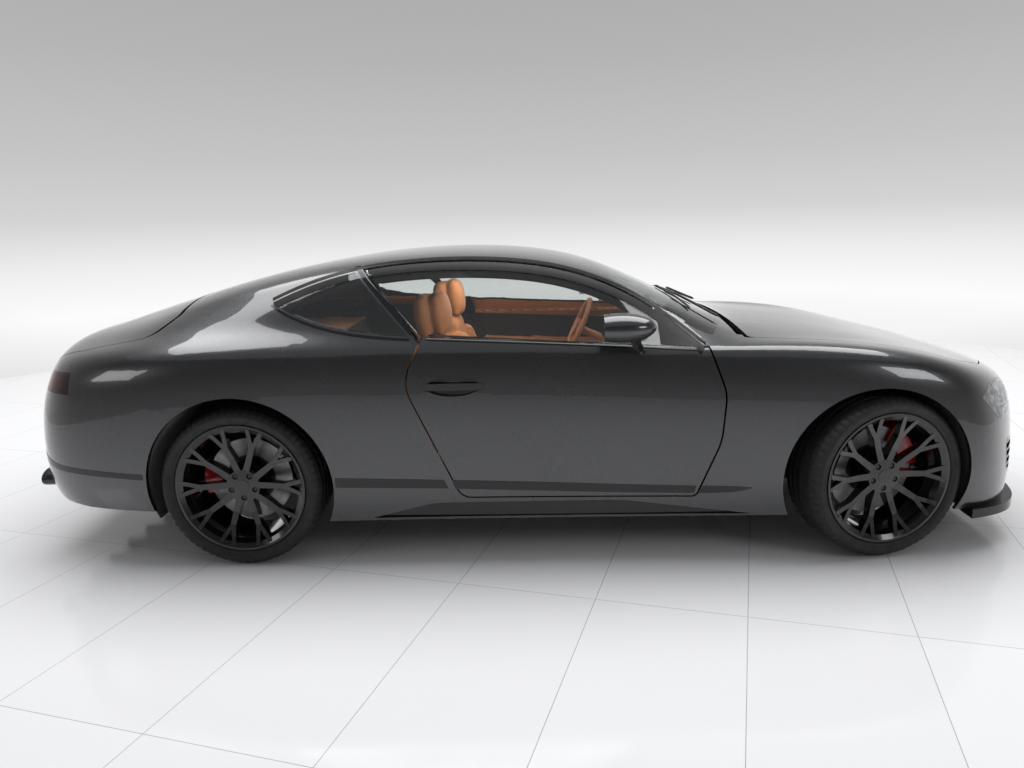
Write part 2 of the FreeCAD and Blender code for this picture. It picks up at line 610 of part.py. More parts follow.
bonnet = both(bonnet_half)
boot_lid = both(boot_half)
bonnet_brackets = []
boot_brackets = []
bonnet_ring = hinge_pin_radius + 5
for side in (-1, 1):
    y = side * bonnet_hinge_y - lug_width / 2
    for edge in (y - lid_plate - lid_play, y + lug_width + lid_play):
        plate = cross_cylinder(bonnet_hinge_x, bonnet_hinge_z, edge, lid_plate, bonnet_ring)
        stem = box(bonnet_hinge_x - 10, bonnet_hinge_x + 10, edge, edge + lid_plate, 866, bonnet_hinge_z)
        bonnet_brackets += [plate, stem]
        pocket = cross_cylinder(bonnet_hinge_x, bonnet_hinge_z, edge - 3, lid_plate + 6, bonnet_ring + 4)
        bonnet = bonnet.cut(pocket)
    bonnet_lug = lug(bonnet_hinge_x, bonnet_hinge_z, (bonnet_hinge_x + 45, bonnet_hinge_z + 6), y, lug_width, 9)
    bonnet = bonnet.fuse(bonnet_lug.common(outer)).cut(
        cross_cylinder(bonnet_hinge_x, bonnet_hinge_z, y - 1, lug_width + 2, hinge_pin_radius + pin_clearance))
    bonnet_brackets.append(cross_cylinder(bonnet_hinge_x, bonnet_hinge_z, y - lid_plate - lid_play,
                                          lug_width + 2 * lid_plate + 2 * lid_play, hinge_pin_radius))
    y = side * boot_hinge_y - lug_width / 2
    for edge in (y - lid_plate - lid_play, y + lug_width + lid_play):
        boot_brackets.append(lug(boot_hinge_x, boot_hinge_z, (boot_hinge_x + 35, boot_hinge_z - 34), edge,
                                 lid_plate, boot_ring_radius))
    boot_lug = lug(boot_hinge_x, boot_hinge_z, (boot_hinge_x - 30, boot_hinge_z - 8), y, lug_width,
                   boot_ring_radius)
    boot_lid = boot_lid.fuse(boot_lug.common(outer)).cut(
        cross_cylinder(boot_hinge_x, boot_hinge_z, y - 1, lug_width + 2, boot_pin_radius + pin_clearance))
    boot_brackets.append(cross_cylinder(boot_hinge_x, boot_hinge_z, y - lid_plate - lid_play,
                                        lug_width + 2 * lid_plate + 2 * lid_play, boot_pin_radius))
keep("bonnet", bonnet)
keep("boot_lid", boot_lid)


def revolve_y(points, arcs=()):
    """Ring turned about the wheel axis from points (radius, outboard distance)."""
    corners = [Vector(r, t, 0) for r, t in points]
    edges = []
    for index, start in enumerate(corners):
        end = corners[(index + 1) % len(corners)]
        bulge = dict(arcs).get(index)
        if bulge:
            edges.append(Part.Arc(start, Vector(bulge[0], bulge[1], 0), end).toShape())
        else:
            edges.append(Part.LineSegment(start, end).toShape())
    return Part.Face(Part.Wire(edges)).revolve(Vector(0, 0, 0), Vector(0, 1, 0), 360)


def tyre(width):
    """Hollow tyre whose beads seat inside the rim's flanges."""
    half = width / 2
    bead = rim_flange_radius - rim_flange_rise + tyre_bead_gap
    heel = half - rim_flange_inset - 2 * rim_flange_width - 1.5 * tyre_bead_gap
    lip = rim_flange_radius + 2 * tyre_bead_gap
    edge = heel + rim_flange_width
    side_radius = tyre_radius - tyre_shoulder
    wide = half - 1
    outside = [(bead, heel), (lip, edge), (side_radius, wide), (tyre_radius - 2, half - tyre_shoulder)]
    inside = [(tyre_radius - tyre_wall, half - tyre_shoulder), (rim_flange_radius + tyre_wall, wide - tyre_wall),
              (bead, heel - tyre_bead_width)]
    points = outside + [(tyre_radius, 0)] + [(r, -t) for r, t in reversed(outside)]
    points += [(r, -t) for r, t in reversed(inside)] + inside
    bulge = ((lip + side_radius) / 2, (edge + wide) / 2 + 3.5)
    shoulder = (tyre_radius - tyre_wall + 4, half - tyre_shoulder / 3)
    arcs = {1: bulge, 2: shoulder, 5: (shoulder[0], -shoulder[1]), 6: (bulge[0], -bulge[1])}
    return revolve_y(points, arcs)


def spoke_face_height(radius, half):
    """Outboard height of the spoke faces: hollow between the hub and the lip."""
    share = (radius - hub_radius) / (rim_flange_radius - hub_radius)
    return half - 54 + 42 * share * share


def flat_bar(start, end, start_width, end_width, low, high):
    """Tapered bar between two points in the wheel's plane, given as radius and angle."""
    a = Vector(start[0] * math.cos(start[1]), 0, start[0] * math.sin(start[1]))
    b = Vector(end[0] * math.cos(end[1]), 0, end[0] * math.sin(end[1]))
    across = (b - a).cross(Vector(0, 1, 0))
    across.normalize()
    corners = [a + across * start_width / 2, a - across * start_width / 2, b - across * end_width / 2,
               b + across * end_width / 2]
    corners = [point + Vector(0, low, 0) for point in corners]
    return Part.Face(Part.makePolygon(corners + corners[:1])).extrude(Vector(0, high - low, 0))


def rim(width):
    """Forked-spoke wheel about the origin, outboard side towards +Y."""
    half = width / 2
    lip = half - rim_flange_inset
    seat_radius = rim_flange_radius - rim_flange_rise
    toe = lip - 2 * rim_flange_width
    tyre_side = [(rim_flange_radius, lip), (rim_flange_radius, lip - rim_flange_width), (seat_radius, toe),
                 (rim_well_radius, lip - 40), (rim_well_radius, -lip + 30), (seat_radius, -toe),
                 (rim_flange_radius, rim_flange_width - lip), (rim_flange_radius, -lip)]
    wheel_side = [(seat_radius - rim_wall, -lip), (rim_well_radius - rim_wall, -lip + 30),
                  (rim_well_radius - rim_wall, lip - 44), (seat_radius - 8, lip - 14),
                  (rim_flange_radius - rim_lip, lip)]
    body = revolve_y(tyre_side + wheel_side)
    envelope = revolve_y(tyre_side + [(0, -lip), (0, lip)])
    bars = []
    for pair in range(spoke_pairs):
        middle = math.radians(90 + 360 / spoke_pairs * pair)
        for side in (-1, 1):
            tip = middle + side * math.radians(360 / spoke_pairs / 4)
            root = middle + side * math.radians(spoke_pair_angle)
            fork = (spoke_fork_radius, tip)
            bars.append(flat_bar((hub_radius - 30, root), fork, spoke_width + 6, spoke_width, -100, 300))
            for branch in (-1, 1):
                end = (rim_flange_radius - 12, tip + branch * math.radians(spoke_fork_spread / 2))
                bars.append(flat_bar((spoke_fork_radius - 12, tip), end, spoke_tip_width, spoke_tip_width, -100, 300))
    bars.append(Part.makeCylinder(hub_radius, 400, Vector(0, -100, 0), Vector(0, 1, 0)))
    star = bars[0].fuse(bars[1:])
    outer_radius = rim_flange_radius - rim_lip
    face = [(radius, spoke_face_height(radius, half)) for radius in (0.0, hub_radius, 130.0, 190.0, 240.0,
                                                                     outer_radius)]
    back = [(outer_radius, face[-1][1] - spoke_depth), (190.0, face[3][1] - spoke_depth - 6),
            (hub_radius, face[1][1] - hub_depth), (0.0, face[1][1] - hub_depth)]
    dish = revolve_y(face + back)
    wheel = body.fuse(star.common(dish).common(envelope))
    face_y = spoke_face_height(hub_radius, half)
    for bolt in range(5):
        angle = math.radians(90 + 72 * bolt + 36)
        centre = Vector(bolt_circle_radius * math.cos(angle), face_y - 18, bolt_circle_radius * math.sin(angle))
        wheel = wheel.cut(Part.makeCylinder(bolt_hole_radius, 60, centre, Vector(0, 1, 0)))
    wheel = wheel.cut(Part.makeCylinder(stub_radius + stub_clearance, 130 + face_y - hub_depth, Vector(0, -100, 0),
                                        Vector(0, 1, 0)))
    cap = Part.makeCone(cap_radius, cap_radius - 3, cap_height + 2, Vector(0, face_y - 2, 0), Vector(0, 1, 0))
    wheel = wheel.fuse(cap)
    return wheel, face_y - hub_depth


def disc(radius, hub_face):
    """Brake disc with its hat seated on the wheel's hub face."""
    low = hub_face - disc_offset - disc_thickness
    high = hub_face - disc_offset
    return revolve_y([(stub_radius + 6, hub_face), (disc_hat_radius, hub_face), (disc_hat_radius, high),
                      (radius, high), (radius, low), (disc_hat_radius - disc_hat_wall, low),
                      (disc_hat_radius - disc_hat_wall, hub_face - disc_hat_wall),
                      (stub_radius + 6, hub_face - disc_hat_wall)])


def caliper(radius, hub_face, angle, span):
    """Caliper bridging the disc's edge, centred at an angle above forwards."""
    mid = hub_face - disc_offset - disc_thickness / 2
    reach = disc_thickness / 2 + caliper_gap + caliper_wall
    inner = radius - caliper_depth
    outer_radius = radius + 26
    half_span = math.radians(span / 2)
    block = revolve_y([(inner, mid + reach), (outer_radius - 8, mid + reach), (outer_radius, mid + reach - 12),
                       (outer_radius, mid - reach + 12), (outer_radius - 8, mid - reach), (inner, mid - reach)])
    slot = revolve_y([(inner - 1, mid + disc_thickness / 2 + caliper_gap), (radius + caliper_gap, mid +
                      disc_thickness / 2 + caliper_gap), (radius + caliper_gap, mid - disc_thickness / 2 -
                      caliper_gap), (inner - 1, mid - disc_thickness / 2 - caliper_gap)])
    start = math.radians(angle) - half_span
    end = math.radians(angle) + half_span
    far = 500
    middle = (start + end) / 2
    wedge = Part.makePolygon([Vector(0, -400, 0), Vector(far * math.cos(start), -400, far * math.sin(start)),
                              Vector(far * 1.3 * math.cos(middle), -400, far * 1.3 * math.sin(middle)),
                              Vector(far * math.cos(end), -400, far * math.sin(end)), Vector(0, -400, 0)])
    sector = Part.Face(wedge).extrude(Vector(0, 800, 0))
    return block.cut(slot).common(sector), mid


def place_wheel(shape, x, y, right, steer=0.0):
    """Put a piece made about the wheel centre on its corner of the car; outboard is +Y when made."""
    placed = shape.copy()
    if right:
        placed = placed.mirror(Vector(0, 0, 0), Vector(0, 1, 0))
    placed.translate(Vector(x, -y if right else y, hub_z))
    if steer:
        centre = Vector(x, (-1 if right else 1) * (y - kingpin_offset), 0)
        placed.rotate(centre, Vector(0, 0, 1), steer)
    return placed


front_rim, front_face = rim(front_tyre_width)
rear_rim, rear_face = rim(rear_tyre_width)
front_tyre = tyre(front_tyre_width)
rear_tyre = tyre(rear_tyre_width)
front_disc = disc(front_disc_radius, front_face)
rear_disc = disc(rear_disc_radius, rear_face)
front_caliper, front_caliper_mid = caliper(front_disc_radius, front_face, front_caliper_angle, front_caliper_span)
rear_caliper, rear_caliper_mid = caliper(rear_disc_radius, rear_face, rear_caliper_angle, rear_caliper_span)


def knuckle(hub_face, caliper_mid, angle, radius):
    """Upright with its stub axle and the arm that carries the caliper; the kingpin bore is vertical."""
    pin_y = -kingpin_offset
    stub = Part.makeCylinder(stub_radius, hub_face + stub_reach - pin_y, Vector(0, pin_y, 0), Vector(0, 1, 0))
    plate = Part.makeCylinder(70, upright_thickness, Vector(0, pin_y - upright_thickness / 2, 0), Vector(0, 1, 0))
    column = box(-24, 24, pin_y - upright_thickness / 2, pin_y + upright_thickness / 2, -column_half, column_half)
    turn = math.radians(angle)
    reach = radius - caliper_depth + 16
    inner_face = caliper_mid - disc_thickness / 2 - caliper_gap - caliper_wall
    carrier = flat_bar((30, turn), (reach, turn), 70, 92, pin_y - upright_thickness / 2, inner_face)
    body = stub.fuse([plate, column, carrier])
    for end in (-1, 1):
        bore = Part.makeCylinder(kingpin_radius + pin_clearance, kingpin_depth + 1, Vector(0, pin_y, end * column_half),
                                 Vector(0, 0, -end))
        body = body.cut(bore)
    return body


rear_carriers = []
rear_calipers = []
sides = (("right", True), ("left", False))
for word, right in sides:
    front_corner = (front_axle_x, front_wheel_y, right, rest_steer_deg)
    rear_corner = (rear_axle_x, rear_wheel_y, right)
    keep("rim_front_" + word, place_wheel(front_rim, *front_corner))
    keep("tyre_front_" + word, place_wheel(front_tyre, *front_corner))
    keep("disc_front_" + word, place_wheel(front_disc, *front_corner))
    keep("caliper_front_" + word, place_wheel(front_caliper, *front_corner))
    front_knuckle = knuckle(front_face, front_caliper_mid, front_caliper_angle, front_disc_radius)
    keep("knuckle_front_" + word, place_wheel(front_knuckle, *front_corner))
    keep("rim_rear_" + word, place_wheel(rear_rim, *rear_corner))
    keep("tyre_rear_" + word, place_wheel(rear_tyre, *rear_corner))
    keep("disc_rear_" + word, place_wheel(rear_disc, *rear_corner))

    rear_carrier = place_wheel(knuckle(rear_face, rear_caliper_mid, rear_caliper_angle, rear_disc_radius),
                               *rear_corner)
    rear_carriers.append(rear_carrier)
    rear_calipers.append(place_wheel(rear_caliper, *rear_corner))
keep("rear_calipers", Part.makeCompound(rear_calipers))


def bar(start, end, width, height):
    """Straight bar of rectangular section lying between two points."""
    a = Vector(*start)
    b = Vector(*end)
    across = (b - a).cross(Vector(0, 0, 1))
    across.normalize()
    rise = Vector(0, 0, height / 2)
    side = across * (width / 2)
    corners = [a + side - rise, a - side - rise, a - side + rise, a + side + rise]
    return Part.Face(Part.makePolygon(corners + corners[:1])).extrude(b - a)


# Floor, tunnel, bulkhead and boot floor as one bent sheet inside the shell
sheet = 8.0
bulkhead_x = 900.0
floor_z = 208.0
boot_floor_z = 404.0
tunnel_half = 130.0
tunnel_top_z = 330.0
seat_bulkhead_x = -1030.0
toe_x = 700.0
heel_x = -560.0
pan_front_x = heel_x - 80
pan_front_z = 330.0
pan_back_x = -900.0
pan_back_z = 345.0
bulkhead_knee_z = 604.0
boot_floor_share = (boot_floor_z + sheet - pan_back_z) / (bulkhead_knee_z - pan_back_z)
boot_floor_front_x = pan_back_x + (seat_bulkhead_x - pan_back_x) * boot_floor_share - sheet / 5
front_seat_y = 380.0
seat_rail_half = 190.0
seat_rail_width = 30.0
seat_rail_top_z = 290.0
seat_gap = 0.3
shelf_z = 900.0
floor_line = [(bulkhead_x, cowl_floor_z), (bulkhead_x, 430), (820, 300), (toe_x, floor_z), (heel_x, floor_z),
              (pan_front_x, pan_front_z), (pan_back_x, pan_back_z), (seat_bulkhead_x, bulkhead_knee_z),
              (seat_bulkhead_x - 70, shelf_z - 20), (seat_bulkhead_x - 70, shelf_z)]
house_front = arch_cut(front_axle_x - 8, liner_radius_front, 1200, 400)
house_rear = arch_cut(rear_axle_x, liner_radius_rear, 1200, 540)


def bent_sheet(line, half_width):
    """Sheet of constant thickness along a side-view line."""
    wire = Part.makePolygon([Vector(x, -half_width, z) for x, z in line])
    strip = wire.makeOffset2D(sheet, 2, True, True, False)
    return strip.extrude(Vector(0, 2 * half_width, 0))


houses = house_front.fuse([house_rear, mirror(house_front), mirror(house_rear)])
posts = a_post.fuse(mirror(a_post))
floor_sheet = bent_sheet(floor_line, 1000).common(under_deep).cut(houses).cut(posts)
behind_heel = box(-2600, heel_x, -1200, 1200, 0, 1500)
rear_sheet = floor_sheet.common(behind_heel)
tunnel_block = box(pan_back_x, bulkhead_x, -tunnel_half, tunnel_half, floor_z - sheet, tunnel_top_z)
tunnel_hollow = box(pan_back_x - 1, bulkhead_x + 1, sheet - tunnel_half, tunnel_half - sheet, 0, tunnel_top_z - sheet)
under_seat = side_prism([(x, z, 0) for x, z in floor_line[4:7]] + [(pan_back_x, 0, 0), (heel_x, 0, 0)], 300, -300)
tunnel = tunnel_block.cut([tunnel_hollow, rear_sheet, under_seat])
seat_rails = []
for y in (-front_seat_y, front_seat_y):
    for edge in (y - seat_rail_half, y + seat_rail_half - seat_rail_width):
        seat_rails.append(box(-300, 120, edge, edge + seat_rail_width, floor_z, seat_rail_top_z))
keep("floor_pan", floor_sheet.cut(behind_heel).cut(tunnel_block))
keep("tunnel", tunnel)
boot_floor = box(-2330, boot_floor_front_x, -1000, 1000, boot_floor_z, boot_floor_z + sheet)
boot_floor = boot_floor.common(under_deep).cut(houses)
keep("rear_floor", rear_sheet.fuse(boot_floor))
keep("seat_rails", Part.makeCompound(seat_rails))

# Scuttle wall and tray under the rear of the bonnet, with the bonnet's hinge brackets
tray = box(bulkhead_x, 1044, -900, 900, cowl_floor_z, 1010).common(under_panel)
tray = tray.cut(box(bulkhead_x + sheet, 1044 - sheet, -1000, 1000, cowl_floor_z + sheet, 1100))
tray = tray.cut(box(1000, 1100, -1000, 1000, 930, 1100)).cut(houses)
tray_back = tray.common(box(bulkhead_x, bulkhead_x + sheet, -1000, 1000, 0, 1100))
keep("scuttle_wall", tray_back)
keep("scuttle_tray", tray.cut(tray_back).fuse(bonnet_brackets))

# Rear deck under the foot of the rear window, with the boot lid's hinge brackets
deck = box(-1632, -1592, -900, 900, 1000, 1160).common(under_panel)
shelf = box(-1600, seat_bulkhead_x - 62, -900, 900, shelf_z, shelf_z + sheet).common(under_panel)
shelf_leg = box(-1600, sheet - 1600, -560, 560, shelf_z, 1010)
rear_shelf = deck.fuse([shelf, shelf_leg] + boot_brackets)
keep("rear_shelf", rear_shelf.cut(pieces["body_side_right"]).cut(pieces["body_side_left"]))

# Wheel-arch liners, open outwards, with a window in each inner wall for the suspension
liners = []
for x, radius, inner, span in ((front_axle_x - 8, liner_radius_front, 470.0, 190.0),
                               (rear_axle_x, liner_radius_rear, 556.0, 170.0)):
    drum = arch_cut(x, radius, 960, inner)
    hollow = arch_cut(x, radius - liner_wall, 1000, inner + liner_wall)
    window = box(x - span, x + span, -inner - 20, -inner + 20, 100, 600)
    liner = drum.cut(hollow).cut(window).common(under_panel).common(box(-2600, 2600, -1200, 0, 214, 900))
    liner = solids_only(liner.cut(pieces["body_side_right"]))
    liners += [liner, mirror(liner)]
keep("wheel_liners", Part.makeCompound(liners))

# Front frame: rails, cross members, suspension arms and kingpins
rail_in = 380.0
rail_out = 446.0
rail_low = 430.0
rail_high = 510.0
kingpin_y = front_wheel_y - kingpin_offset
lower_arm_z = hub_z - column_half - arm_gap - arm_height / 2
upper_arm_z = hub_z + column_half + arm_gap + arm_height / 2
kingpin_length = arm_height + arm_gap + kingpin_depth - kingpin_end_gap
members = []
for side in (-1, 1):
    rail = box(bulkhead_x + sheet, 2150, min(side * rail_in, side * rail_out), max(side * rail_in, side * rail_out),
               rail_low, rail_high)
    drop = box(1470, 1620, min(side * 330, side * rail_out), max(side * 330, side * rail_out), 214, rail_low + 5)
    members += [rail, drop]
    for x, low in ((1380, True), (1700, True), (1470, False), (1620, False)):
        z = lower_arm_z if low else upper_arm_z
        z_in = z + (6 if low else -24)
        members.append(bar((x, side * 420, z_in), (front_axle_x, side * kingpin_y, z), arm_width, arm_height))
    for z, end in ((lower_arm_z - arm_height / 2, 1), (upper_arm_z + arm_height / 2, -1)):
        foot = Vector(front_axle_x, side * kingpin_y, z)
        members.append(Part.makeCylinder(26, arm_height, foot, Vector(0, 0, end)))
        members.append(Part.makeCylinder(kingpin_radius, kingpin_length, foot, Vector(0, 0, end)))
members.append(box(1470, 1620, -rail_in, rail_in, 214, 262))
members.append(box(1370, 1720, -440, -400, 214, 246))
members.append(box(1370, 1720, 400, 440, 214, 246))
members.append(box(2110, 2150, -rail_in, rail_in, rail_low, rail_high))
rack = Part.makeCylinder(24, 700, Vector(1660, -350, 290), Vector(0, 1, 0))
rack_foot = box(1600, 1680, -200, -160, 240, 290).fuse(box(1600, 1680, 160, 200, 240, 290))
keep("front_frame", members[0].fuse(members[1:] + [rack, rack_foot]))
engine_points = [Vector(1130, -170, 262), Vector(1130, 170, 262), Vector(1130, 320, 640), Vector(1130, 250, 800),
                 Vector(1130, -250, 800), Vector(1130, -320, 640)]
engine = Part.Face(Part.makePolygon(engine_points + engine_points[:1])).extrude(Vector(620, 0, 0))
keep("engine_block", engine.cut(rack.fuse(rack_foot)).cut(Part.makeCylinder(34, 760, Vector(1660, -380, 290),
                                                                           Vector(0, 1, 0))))
keep("radiator_panel", box(2150, 2190, -540, 540, 250, 690))

# Rear frame: rails, cross member, differential, drive shafts and hub carriers
rear_pin_y = rear_wheel_y - kingpin_offset
rear_rail_z = 345.0
rear_rail_front_x = -1000.0
rear_members = []
for side in (-1, 1):
    rear_rail = box(-2160, rear_rail_front_x, min(side * 430, side * 500), max(side * 430, side * 500), rear_rail_z,
                    boot_floor_z)
    shaft = Part.makeCylinder(18, rear_pin_y - 80, Vector(rear_axle_x, side * 80, hub_z), Vector(0, side, 0))
    rear_members += [rear_rail, shaft]
    for x, z, z_in in ((-1180, 260, 262), (-1430, 260, 262), (-1230, 486, 330), (-1380, 486, 330)):
        rear_members.append(bar((x, side * 440, z_in), (rear_axle_x, side * rear_pin_y, z), arm_width, arm_height))
rear_members.append(box(-1200, -1150, -500, 500, 245, 350))
rear_members.append(box(-1460, -1410, -500, 500, 245, 350))
rear_members.append(box(-1460, -1150, -150, 150, 262, 395))
rear_frame = rear_members[0].fuse(rear_members[1:] + [solid for carrier in rear_carriers for solid in
                                                     carrier.Solids])
keep("rear_frame", rear_frame)

# Exhaust: silencer across the tail and an oval outlet on each side
outlet_y = 640.0
outlet_z = 345.0
outlet_half_width = 76.0
outlet_half_height = 42.0
outlet_wall = 4.0
outlet_end_x = -2376.0


def oval(x, y, z, half_width, half_height, length):
    ring = Part.Ellipse(Vector(x, y + half_width, z), Vector(x, y, z + half_height), Vector(x, y, z))
    return Part.Face(Part.Wire(ring.toShape())).extrude(Vector(length, 0, 0))


exhaust_parts = [box(-2130, -1860, -400, 400, 222, 342)]
outlet_cuts = []
for side in (-1, 1):
    tube = oval(outlet_end_x, side * outlet_y, outlet_z, outlet_half_width, outlet_half_height, -2130 - outlet_end_x)
    inside = oval(outlet_end_x - 1, side * outlet_y, outlet_z, outlet_half_width - outlet_wall,
                  outlet_half_height - outlet_wall, -2140 - outlet_end_x)
    pipe = box(-2140, -2080, min(side * 380, side * 700), max(side * 380, side * 700), 305, 345)
    hanger = box(-2000, -1980, min(side * 360, side * 460), max(side * 360, side * 460), 330, rear_rail_z)
    exhaust_parts += [tube.cut(inside), pipe, hanger]
    outlet_cuts.append(oval(-2600, side * outlet_y, outlet_z, outlet_half_width + 1, outlet_half_height + 1, 500))
keep("exhaust", exhaust_parts[0].fuse(exhaust_parts[1:]))
keep("rear_bumper", pieces["rear_bumper"].cut(outlet_cuts[0]).cut(outlet_cuts[1]))

# Lamps: clear lens flush with the skin and a housing behind it
under_lamp = body_solid(uniform(70.0))
lamp_layer = under_glass.cut(under_lamp)
head_lens = panel(headlamp_zone, glass_skin)
head_unit = solids_only(lamp_layer.common(headlamp_zone))
aim = Vector(0.8, -0.6, 0)
for x, z in projector_places:
    probe = Part.LineSegment(Vector(x, -1200, z), Vector(x, -300, z)).toShape().common(outer)
    mouth = min((vertex.Point for vertex in probe.Vertexes), key=lambda point: point.y)
    bowl = Part.makeCone(projector_radius * 0.55, projector_radius * 1.1, projector_depth * 1.2,
                         mouth - aim * projector_depth, aim)
    bulb = Part.makeSphere(projector_radius * 0.6, mouth - aim * projector_depth * 0.85)
    head_unit = head_unit.cut(bowl).fuse(bulb.common(lamp_layer))
tail_lens = panel(tail_lamp_zone, glass_skin)
tail_unit = solids_only(lamp_layer.common(tail_lamp_zone))
groove_layer = under_glass.cut(under_panel)
for z in tail_groove_levels:
    tail_unit = tail_unit.cut(groove_layer.common(box(-2600, -2000, -1200, 0, z, z + tail_groove_height)))
keep("headlamp_lenses", Part.makeCompound([head_lens, mirror(head_lens)]))
keep("headlamp_units", Part.makeCompound([solids_only(head_unit), mirror(solids_only(head_unit))]))
keep("tail_lamp_lenses", Part.makeCompound([tail_lens, mirror(tail_lens)]))
keep("tail_lamp_units", Part.makeCompound([solids_only(tail_unit), mirror(solids_only(tail_unit))]))

# Grille: a surround and horizontal vanes that follow the nose
vane_pitch = 34.0
vane_thickness = 9.0
surround = 14.0


def vaned(face, low, high):
    """Surround and level vanes cut from the nose skin inside an outline seen from the front."""
    zone_skin = skin.common(face.extrude(Vector(460, 0, 0)))
    core = grow(face, -surround).extrude(Vector(460, 0, 0))
    slabs = []
    level = low + vane_pitch
    while level < high:
        slabs.append(box(2000, 2600, -900, 5, level, level + vane_thickness))
        level += vane_pitch
    return zone_skin.common(slabs[0].fuse(slabs[1:])).fuse(zone_skin.cut(core))


grille_face = closed_face(rounded(mirrored_front(grille_points), front_place(2150)))
grille_half = vaned(grille_face, grille_outline[-1][1], grille_outline[0][1])
intake_grille = solids_only(vaned(intake_face, intake_outline[-1][1], intake_outline[1][1]))
keep("grille", Part.makeCompound([both(grille_half), intake_grille, mirror(intake_grille)]))

# Lower trim: front splitter, sill blades and rear diffuser
diffuser_half = 530.0
diffuser_thickness = 12.0
fin_height = 62.0
fin_thickness = 8.0
fin_pitch = 210.0
splitter_points = [(x + 42, -w - (14 if w else 0)) for x, w, z in ring_bottom[:6]]
splitter_curve = Part.BSplineCurve()
splitter_curve.buildFromPolesMultsKnots([Vector(x, y, 158) for x, y in splitter_points], [4, 1, 1, 4],
                                        [0.0, 1.0, 2.0, 3.0], False, 3)
first = Vector(splitter_points[0][0], 0, 158)
last = Vector(splitter_points[-1][0], splitter_points[-1][1], 158)
back = Vector(2150, 0, 158)
corner = Vector(splitter_points[-1][0], -800, 158)
splitter_edges = [splitter_curve.toShape(), Part.LineSegment(last, corner).toShape(),
                  Part.LineSegment(corner, back).toShape(), Part.LineSegment(back, first).toShape()]
splitter = both(Part.Face(Part.Wire(splitter_edges)).extrude(Vector(0, 0, bottom_z - 158)))
diffuser_line = [(x, z, 0) for x, z in rear_foot[2:]]
diffuser_foot = [(x, z - diffuser_thickness, 0) for x, z, r in reversed(diffuser_line)]
diffuser = side_prism(diffuser_line + diffuser_foot, diffuser_half, -diffuser_half)
fin_points = diffuser_foot + [(diffuser_foot[0][0], diffuser_foot[0][1] - fin_height, 0)]
for place in (-2, -1, 0, 1, 2):
    y = place * fin_pitch
    diffuser = diffuser.fuse(side_prism(fin_points, fin_thickness / 2 - y, -fin_thickness / 2 - y))
diffuser = diffuser.common(under_glass)
sill_blade = side_prism(sill_scoop_outline, sill_scoop_y + sill_blade_thickness, sill_scoop_y)
sill_blade = sill_blade.cut(arch_front).common(outer)
keep("lower_trim", Part.makeCompound([splitter, diffuser, sill_blade, mirror(sill_blade)]))

# Cabin
dash_points = [(470, 690, 40), (455, 800, 50), (560, 900, 60), (bulkhead_x, 950, 0), (bulkhead_x, 640, 0),
               (640, 600, 40)]
dash = closed_face(rounded(dash_points, side_place(-745))).extrude(Vector(0, 1490, 0)).common(under_deep)
dash = dash.cut(box(bulkhead_x - 1, 1200, -1000, 1000, cowl_floor_z - 1, 1200))
keep("dashboard", dash)
wheel_centre = Vector(290, front_seat_y, 880)
wheel_tilt = 115.0
ring = Part.makeTorus(176, 15)
spokes = [box(-12, 12, 0, 172, -8, 8), box(-12, 12, -172, 0, -8, 8), box(0, 172, -14, 14, -8, 8)]
hub = Part.makeCone(58, 46, 44, Vector(0, 0, -20))
column = Part.makeCylinder(24, 250, Vector(0, 0, 10))
steering = ring.fuse(spokes + [hub, column])
steering.rotate(Vector(0, 0, 0), Vector(0, 1, 0), wheel_tilt)
steering.translate(wheel_centre)
keep("steering_wheel", steering.cut(dash))
console_points = [(-640, tunnel_top_z, 0), (-640, 470, 40), (-380, 545, 60), (60, 520, 60), (420, 600, 80),
                  (640, 680, 0), (640, tunnel_top_z, 0)]
console = closed_face(rounded(console_points, side_place(-112))).extrude(Vector(0, 224, 0)).cut(dash)
keep("centre_console", solids_only(console))


def seat(profile, half_width, centre_y, head):
    """Soft seat: one closed side-view profile with a headrest block."""
    body = closed_face(rounded(profile, side_place(centre_y - half_width))).extrude(Vector(0, 2 * half_width, 0))
    head_body = closed_face(rounded(head, side_place(centre_y - 130))).extrude(Vector(0, 260, 0))
    return body.fuse(head_body)


seat_foot_z = seat_rail_top_z + seat_gap
front_seat_profile = [(-330, seat_foot_z, 20), (130, seat_foot_z, 40), (190, 420, 50), (150, 505, 50), (-240, 455, 60),
                      (-395, 990, 70), (-545, 1000, 60), (-420, 330, 60)]
front_head = [(-440, 940, 20), (-425, 1150, 40), (-480, 1184, 30), (-530, 1150, 40), (-520, 940, 20)]
seats = [seat(front_seat_profile, 248, y, front_head) for y in (-front_seat_y, front_seat_y)]
keep("front_seats", Part.makeCompound(seats))
cushion_front_x = -660.0
pan_slope = (pan_back_z - pan_front_z) / (pan_back_x - pan_front_x)
cushion_foot_z = pan_front_z + pan_slope * (cushion_front_x - pan_front_x) + seat_gap
rear_seat_profile = [(pan_back_x, pan_back_z + seat_gap, 20), (cushion_front_x, cushion_foot_z, 30), (-625, 430, 40), (-660, 500, 40), (-850, 470, 50),
                     (-930, 850, 25), (-1005, 850, 25), (-985, 560, 40)]
rear_seats = [closed_face(rounded(rear_seat_profile, side_place(y - 205))).extrude(Vector(0, 410, 0))
              for y in (-330, 330)]
keep("rear_seats", Part.makeCompound(rear_seats))


